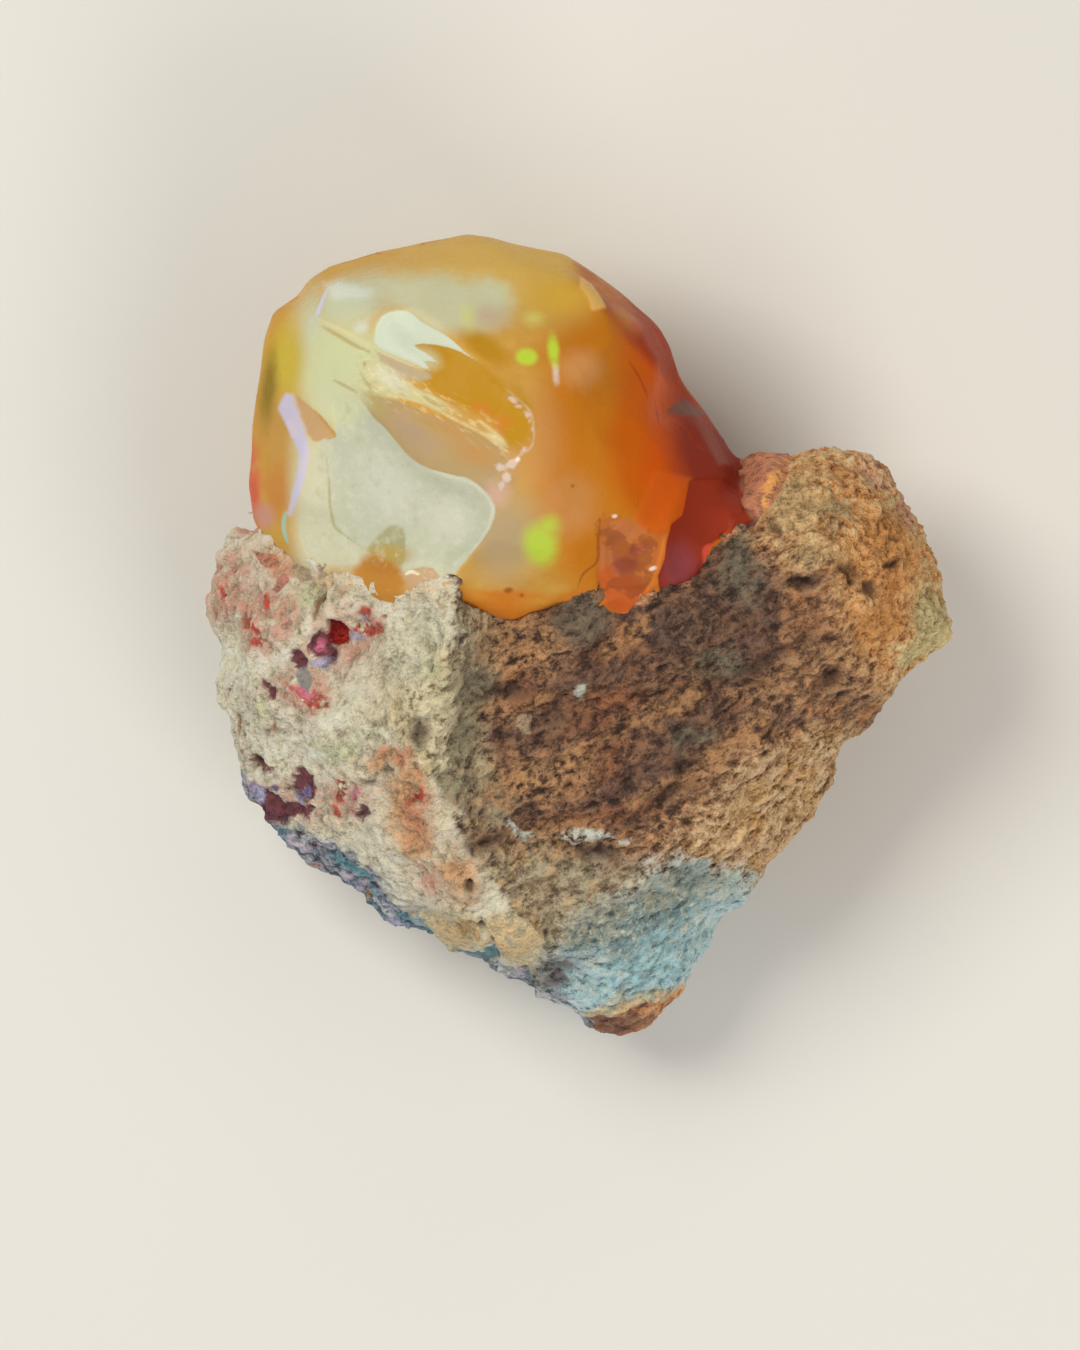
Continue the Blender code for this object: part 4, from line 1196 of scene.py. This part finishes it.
        (188, 152, 110), 0.06, 0.03, 0.95, rise=-0.08,
        outlines=[[(-14.2, 14.7), (-13.41, 14.06), (-12.93, 13.59), (-12.53, 13.11), (-12.19, 12.61),
                   (-12.69, 12.51), (-13.01, 12.31), (-13.29, 12.39), (-13.57, 12.79),
                   (-13.8, 13.43), (-14.12, 14.06)]]),
    facetRim=patch(
        (188, 138, 70), 0.05, 0.02, 0.85,
        lines=[(0.09, (-13.3, 13.98), (-12.93, 13.59), (-12.53, 13.11), (-12.19, 12.61),
                (-12.69, 12.46))]),
    # lilac line down the left ridge: painted highlight, the reflection of a cool lamp on the left
    lilac=patch(
        (194, 190, 216), 0.14, 0.12, 0.9, rise=0.04,
        outlines=[[(-14.61, 14.77), (-14.27, 14.66), (-14.11, 14.05), (-13.88, 13.51),
                   (-13.65, 12.97), (-13.5, 12.44), (-13.42, 11.9), (-13.46, 11.44), (-13.58, 10.98),
                   (-13.65, 10.53), (-13.77, 9.99), (-13.96, 9.53), (-14.15, 9.07), (-14.34, 8.69),
                   (-14.55, 8.69), (-14.38, 9.3), (-14.27, 9.84), (-14.11, 10.3), (-13.96, 10.83),
                   (-13.88, 11.21), (-13.92, 11.83), (-14.19, 12.44), (-14.49, 12.97),
                   (-14.8, 13.51), (-15.01, 14.01), (-14.8, 14.51)]]),
    # paler spots on the same painted highlight
    lilacPale=patch(
        (204, 194, 206), 0.15, 0.2, 0.8,
        spots=[(-14.2, 13, 0.3, 0.5, 30), (-13.75, 11.2, 0.2, 0.4)]),
    # the painted highlight's upper stretch
    lilacTop=patch(
        (200, 200, 226), 0.12, 0.12, 0.9,
        lines=[(0.2, (-12.61, 20.04), (-12.85, 19.41), (-13.01, 18.85), (-13.1, 18.5))]),
    # teal-green foot of the painted highlight line
    teal=patch(
        (148, 196, 176), 0.16, 0.15, 0.9,
        lines=[(0.24, (-14.6, 8.9), (-14.75, 8.3), (-14.7, 7.8), (-14.55, 7.3))]),
    frost=patch(
        (210, 216, 206), 0.3, 0.3, 0.8,
        outlines=[[(-12.69, 20.2), (-12.13, 20.44), (-11.49, 20.28), (-10.85, 20.08), (-10.3, 19.92),
                   (-10.54, 19.57), (-11.01, 19.49), (-11.49, 19.45), (-12.13, 19.41),
                   (-12.45, 19.57)]],
        spots=[(-10.8, 18, 0.3, 0.2, 30)]),
    topLine=patch(
        (186, 120, 50), 0.12, 0.1, 0.85,
        lines=[(0.14, (-12, 21.2), (-10.2, 21.8), (-8.2, 22.3), (-6.6, 22.5)),
               (0.12, (-15, 19.1), (-13.9, 19.6))]),
    broken=patch(
        (184, 104, 50), 0.16, 0.14, 0.85, rise=-0.08,
        outlines=[[(0.96, 8.46), (1.98, 8.58), (2.8, 8.2), (3.31, 7.8), (4.38, 7.8), (4.48, 7.13),
                   (4.22, 6.42), (4.02, 5.6), (3.82, 4.79), (2.69, 3.97), (1.98, 3.2), (1.2, 3.7),
                   (0.9, 4.79), (0.84, 5.7), (0.88, 6.93)]]),
    brokenRose=patch(
        (178, 114, 76), 0.35, 0.6, 0.5,
        spots=[(2.2, 7.9, 0.9, 0.5, -10), (1.4, 6.6, 0.4, 0.8)]),
    brokenWine=patch(
        (150, 72, 60), 0.25, 0.5, 0.85,
        spots=[(2.2, 6.1, 0.6, 0.4, 20), (3, 6.9, 0.4, 0.2, 20)]),
    brokenFire=patch(
        (186, 82, 34), 0.25, 0.5, 0.7,
        spots=[(2.2, 4.7, 1, 0.9, 20), (1.3, 5.4, 0.4, 0.7)]),
    brokenDark=patch(
        (118, 62, 38), 0.12, 1.5, 0.45,
        spots=[(1.9, 7, 0.5, 1.3, 30), (3.3, 6.6, 0.4, 0.9, -20), (2.4, 5.2, 0.8, 0.5)]),
    brokenStrip=patch(
        (210, 120, 48), 0.1, 0.15, 0.9, rise=0.06,
        lines=[(0.22, (4.2, 7.6), (4.05, 6.4), (3.8, 5.4), (3.2, 4.7))]),
    edgeLine=patch(
        (150, 84, 40), 0.05, 0.03, 0.8,
        lines=[(0.08, (0.98, 8.46), (0.88, 7.44), (0.86, 6.42), (0.14, 5.76), (-0.16, 4.99))]),
    bright=patch(
        (196, 88, 24), 0.2, 0.1, 0.75, rise=0.05,
        outlines=[[(3.82, 10.9), (4.6, 10.8), (5.5, 10.5), (5.14, 8.66), (4.53, 8.23), (4.41, 7.83),
                   (3.82, 7.69), (3.2, 7.95), (2.7, 8.46), (3.2, 9.38), (3.5, 10.4)]]),
    maroon=patch(
        (146, 52, 34), 0.06, 0.04, rise=-0.16,
        outlines=[[(5.47, 10.4), (7.29, 10.5), (8.1, 9.89), (8.31, 8.97), (7.59, 8.77), (7.49, 8.15),
                   (7.08, 7.64), (6.47, 7.23), (6.16, 6.21), (6.01, 4.6), (5.04, 4.4), (4.02, 4.6),
                   (3.92, 5.6), (4.22, 6.42), (4.38, 7.23), (4.53, 8.2), (5.14, 8.66)]]),
    maroonPurple=patch((146, 72, 76), 0.5, 0.2, 0.85, spots=[(5, 6.1, 0.8, 1.1, -10)]),
    redRim=patch(
        (202, 80, 58), 0.08, 0.12, 0.95, rise=0.08,
        lines=[(0.18, (6.57, 7.29), (6.27, 6.93), (6.32, 6.11), (6.16, 5.19), (6.06, 4.48))]),
    stainRight=patch(
        (198, 112, 32), 0.25, 0.35, 0.82,
        outlines=[[(-6.4, 5), (-5.47, 4.94), (-4.14, 5), (-2.71, 4.9), (-1.29, 4.76), (-0.06, 4.99),
                   (0.9, 4.9), (1.4, 3.6), (-1.49, 2.8), (-3.12, 2.2), (-4.76, 2.8), (-6.4, 4)]]),
    seamGold=patch(
        (206, 154, 66), 0.3, 0.4, 0.6,
        spots=[(-2, 4.4, 0.9, 0.3), (-5.2, 4.7, 0.5, 0.2, -20)]),
    fleck=patch(
        (152, 78, 26), 0.08, 0.1, 0.85,
        spots=[(-3.58, 4.94, 0.22, 0.14, 10), (-2.9, 4.7, 0.12, 0.1), (-0.4, 10.1, 0.1, 0.1)]),
    redFleck=patch((186, 72, 40), 0.1, 0.1, 0.9, spots=[(2.81, 18.14, 0.18, 0.34, 30)]),
    streaks=patch(
        (150, 56, 22), 0.08, 0.06, 0.75,
        lines=[(0.1, (3.66, 14.6), (3.8, 14), (3.93, 13.2)),
               (0.1, (4.46, 13.3), (5.18, 13.1), (5.62, 12.25)),
               (0.08, (5.62, 12.25), (6.25, 11.89)), (0.08, (2.4, 16.4), (3, 15.4), (3.4, 14.4))]),
    smudge=patch(
        (112, 78, 68), 0.1, 0.12, 0.85,
        outlines=[[(4.29, 13.86), (4.7, 14.3), (5.2, 14.5), (5.7, 14.2), (6.3, 13.86), (5.71, 13.66),
                   (4.82, 13.66)]]),
    ledge=patch(
        (214, 174, 100), 0.08, 0.08, 0.85, rise=0.1,
        outlines=[[(0, 20.6), (0.6, 20.2), (0.95, 19.57), (1.25, 18.93), (0.54, 18.79),
                   (0.36, 19.48), (0, 20)]]),
    chain=patch(
        (218, 196, 176), 0.05, 0.06, 0.4, rise=0.02,
        lines=[(0.08, (-3.84, 15.02), (-3.21, 14.48), (-2.5, 13.77), (-2.32, 12.96), (-2.41, 12.07),
                (-2.95, 11.62), (-3.66, 11.18))]),
    chips=patch(
        (222, 208, 204), 0.08, 0.4, 0.6, rise=0.06,
        spots=[(-3.3, 14.3, 0.28, 0.11, -35), (-3.05, 14, 0.18, 0.1, 10),
               (-2.6, 13.6, 0.22, 0.12, -60), (-2.5, 13.3, 0.1, 0.18), (-2.37, 12.88, 0.1, 0.2, 10),
               (-2.54, 12.34, 0.11, 0.22, -10), (-2.77, 11.89, 0.24, 0.13, 40),
               (-3.39, 11.18, 0.3, 0.2, 20), (-3.97, 11, 0.26, 0.18, -20), (-3.66, 10.55, 0.2, 0.24),
               (-3.9, 10.1, 0.14, 0.18)]),
    glints=patch(
        (240, 226, 214), 0.06, 0.06, 0.9,
        spots=[(1.69, 8.61, 0.14, 0.1), (3.61, 6.01, 0.18, 0.1, 20), (-3.1, 11.4, 0.12, 0.12)]),
)

# the play of colour: patches that glow of themselves
flashes = dict(
    flashFaint=patch(
        (196, 206, 108), 0.4, 0.3, 0.5, glow=0.4,
        spots=[(-5.6, 18.5, 0.3, 0.6, 8), (-2.35, 18.4, 0.4, 0.35)]),
    flashTail=patch((214, 206, 196), 0.12, 0.2, 0.7, glow=0.25, spots=[(-1.22, 15.65, 0.16, 0.5, 6)]),
    flashLime=patch(
        (172, 194, 58), 0.16, 0.16, glow=0.42,
        spots=[(-2.68, 16.49, 0.5, 0.4), (-1.34, 16.8, 0.26, 0.75, 4)]),
    flashWide=patch(
        (166, 190, 62), 0.45, 0.3, 0.95, glow=0.38,
        spots=[(-2, 7.2, 0.8, 1, 10), (-1.6, 8.1, 0.5, 0.4, 30)]),
)


def shapeOpal(surface):
    tree = surface.tree()
    size, height = opal["swell"]
    rise = lumps(surface.points, size) * height
    fields = {}
    for name, mark in (opalMarks | flashes).items():
        fields[name] = surface.drawn(tree, mark, surface.points)
        if "rise" in mark:
            rise += mark["rise"] * step(fields[name], -mark["edge"], mark["edge"])
    size, height, *run = opal["splinters"]
    splinters = lumps(turnedBy(surface.points, *run), size, crests) * height
    rise += splinters * step(fields["broken"], -0.1, 0.3)
    size, height = opal["crumbs"]
    rise += lumps(surface.points, size) * height * step(fields["chips"], -0.2, 0.1)
    front = step(surface.points[:, 2], opal["rim"], opal["rim"] + 1)
    fan = step(fields["creamBand"], -0.9, 0.0) * front
    size, height, *run = opal["fan"]
    rise += lumps(turnedBy(surface.points, *run), size) * height * fan
    surface.push(rise)
    for name, field in fields.items():
        surface.store(name, field)
    surface.store("fan", fan)


def opalMaterial():
    material, place, shader = newMaterial("fire opal")
    material.cycles.emission_sampling = "NONE"  # the glow is too faint to light the floor
    wide = place.swirl(1.6, 0.25).grain(1.8, 3)
    mid = place.grain(0.6, 3, 0.6)
    waver = wide + mid
    size, *run = opal["hackles"]
    hackles = place.turned(*run).grain(size, 3, 0.6)
    colour = wide.soften(-0.25, 0.25).mix(*map(srgb, opal["body"]))
    for name, mark in (opalMarks | flashes).items():
        colour = place.stored(name).covers(mark, waver).mix(colour, srgb(mark["colour"]))
    fan = place.stored("fan")
    pale, dark = map(srgb, opal["hackleColours"])
    colour = (hackles.soften(0.03, 0.16) * fan * 0.4).mix(colour, pale)
    colour = ((-hackles).soften(0.04, 0.18) * fan * 0.3).mix(colour, dark)
    specks = place.grain(0.6, 4, 0.7)
    scar = place.stored("greatScar").soften(0, 0.4)
    pale, dark = map(srgb, opal["scarColours"])
    colour = (specks.soften(0.0, 0.2) * scar * 0.4).mix(colour, pale)
    colour = ((-specks).soften(0.03, 0.2) * scar * 0.35).mix(colour, dark)
    # painted glow: the stone's own colour, emitted at this share
    glow = colour.darkened(opal["innerGlow"])
    for name, mark in flashes.items():
        own = srgb([channel * mark["glow"] for channel in mark["colour"]])
        glow = place.stored(name).covers(mark, waver).mix(glow, own, "ADD")
    plug(shader, {
        "Base Color": colour,
        "Roughness": mid * 0.25 + opal["roughness"],
        "IOR": opal["ior"],
        "Transmission Weight": opal["transmission"],
        "Specular IOR Level": opal["gloss"],
        "Emission Color": glow,
        "Emission Strength": 1.0,
        "Normal": (mid * 0.7 + hackles * fan * 0.12).bump(0.05),
    })
    body = {"Color": srgb(opal["depthColour"]), "Density": opal["depth"]}
    absorb = place.node("ShaderNodeVolumeAbsorption", {}, body)
    output = material.node_tree.nodes["Material Output"]
    material.node_tree.links.new(absorb.socket, output.inputs["Volume"])
    return material


def makeOpal():
    surface = Surface("fireOpal", "opal", opal)
    surface.refine(treeOf(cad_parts["matrix"].data))
    shapeOpal(surface)
    surface.piece.data.materials.clear()
    surface.piece.data.materials.append(opalMaterial())
    surface.finish("opal")
    say(f"opal, {len(surface.points)} points")
    return surface


addCamera()
addStudio()
say(f"camera, floor and {len(studio['lamps'])} lamps")
stone = makeOpal()
makeRock(stone.tree())
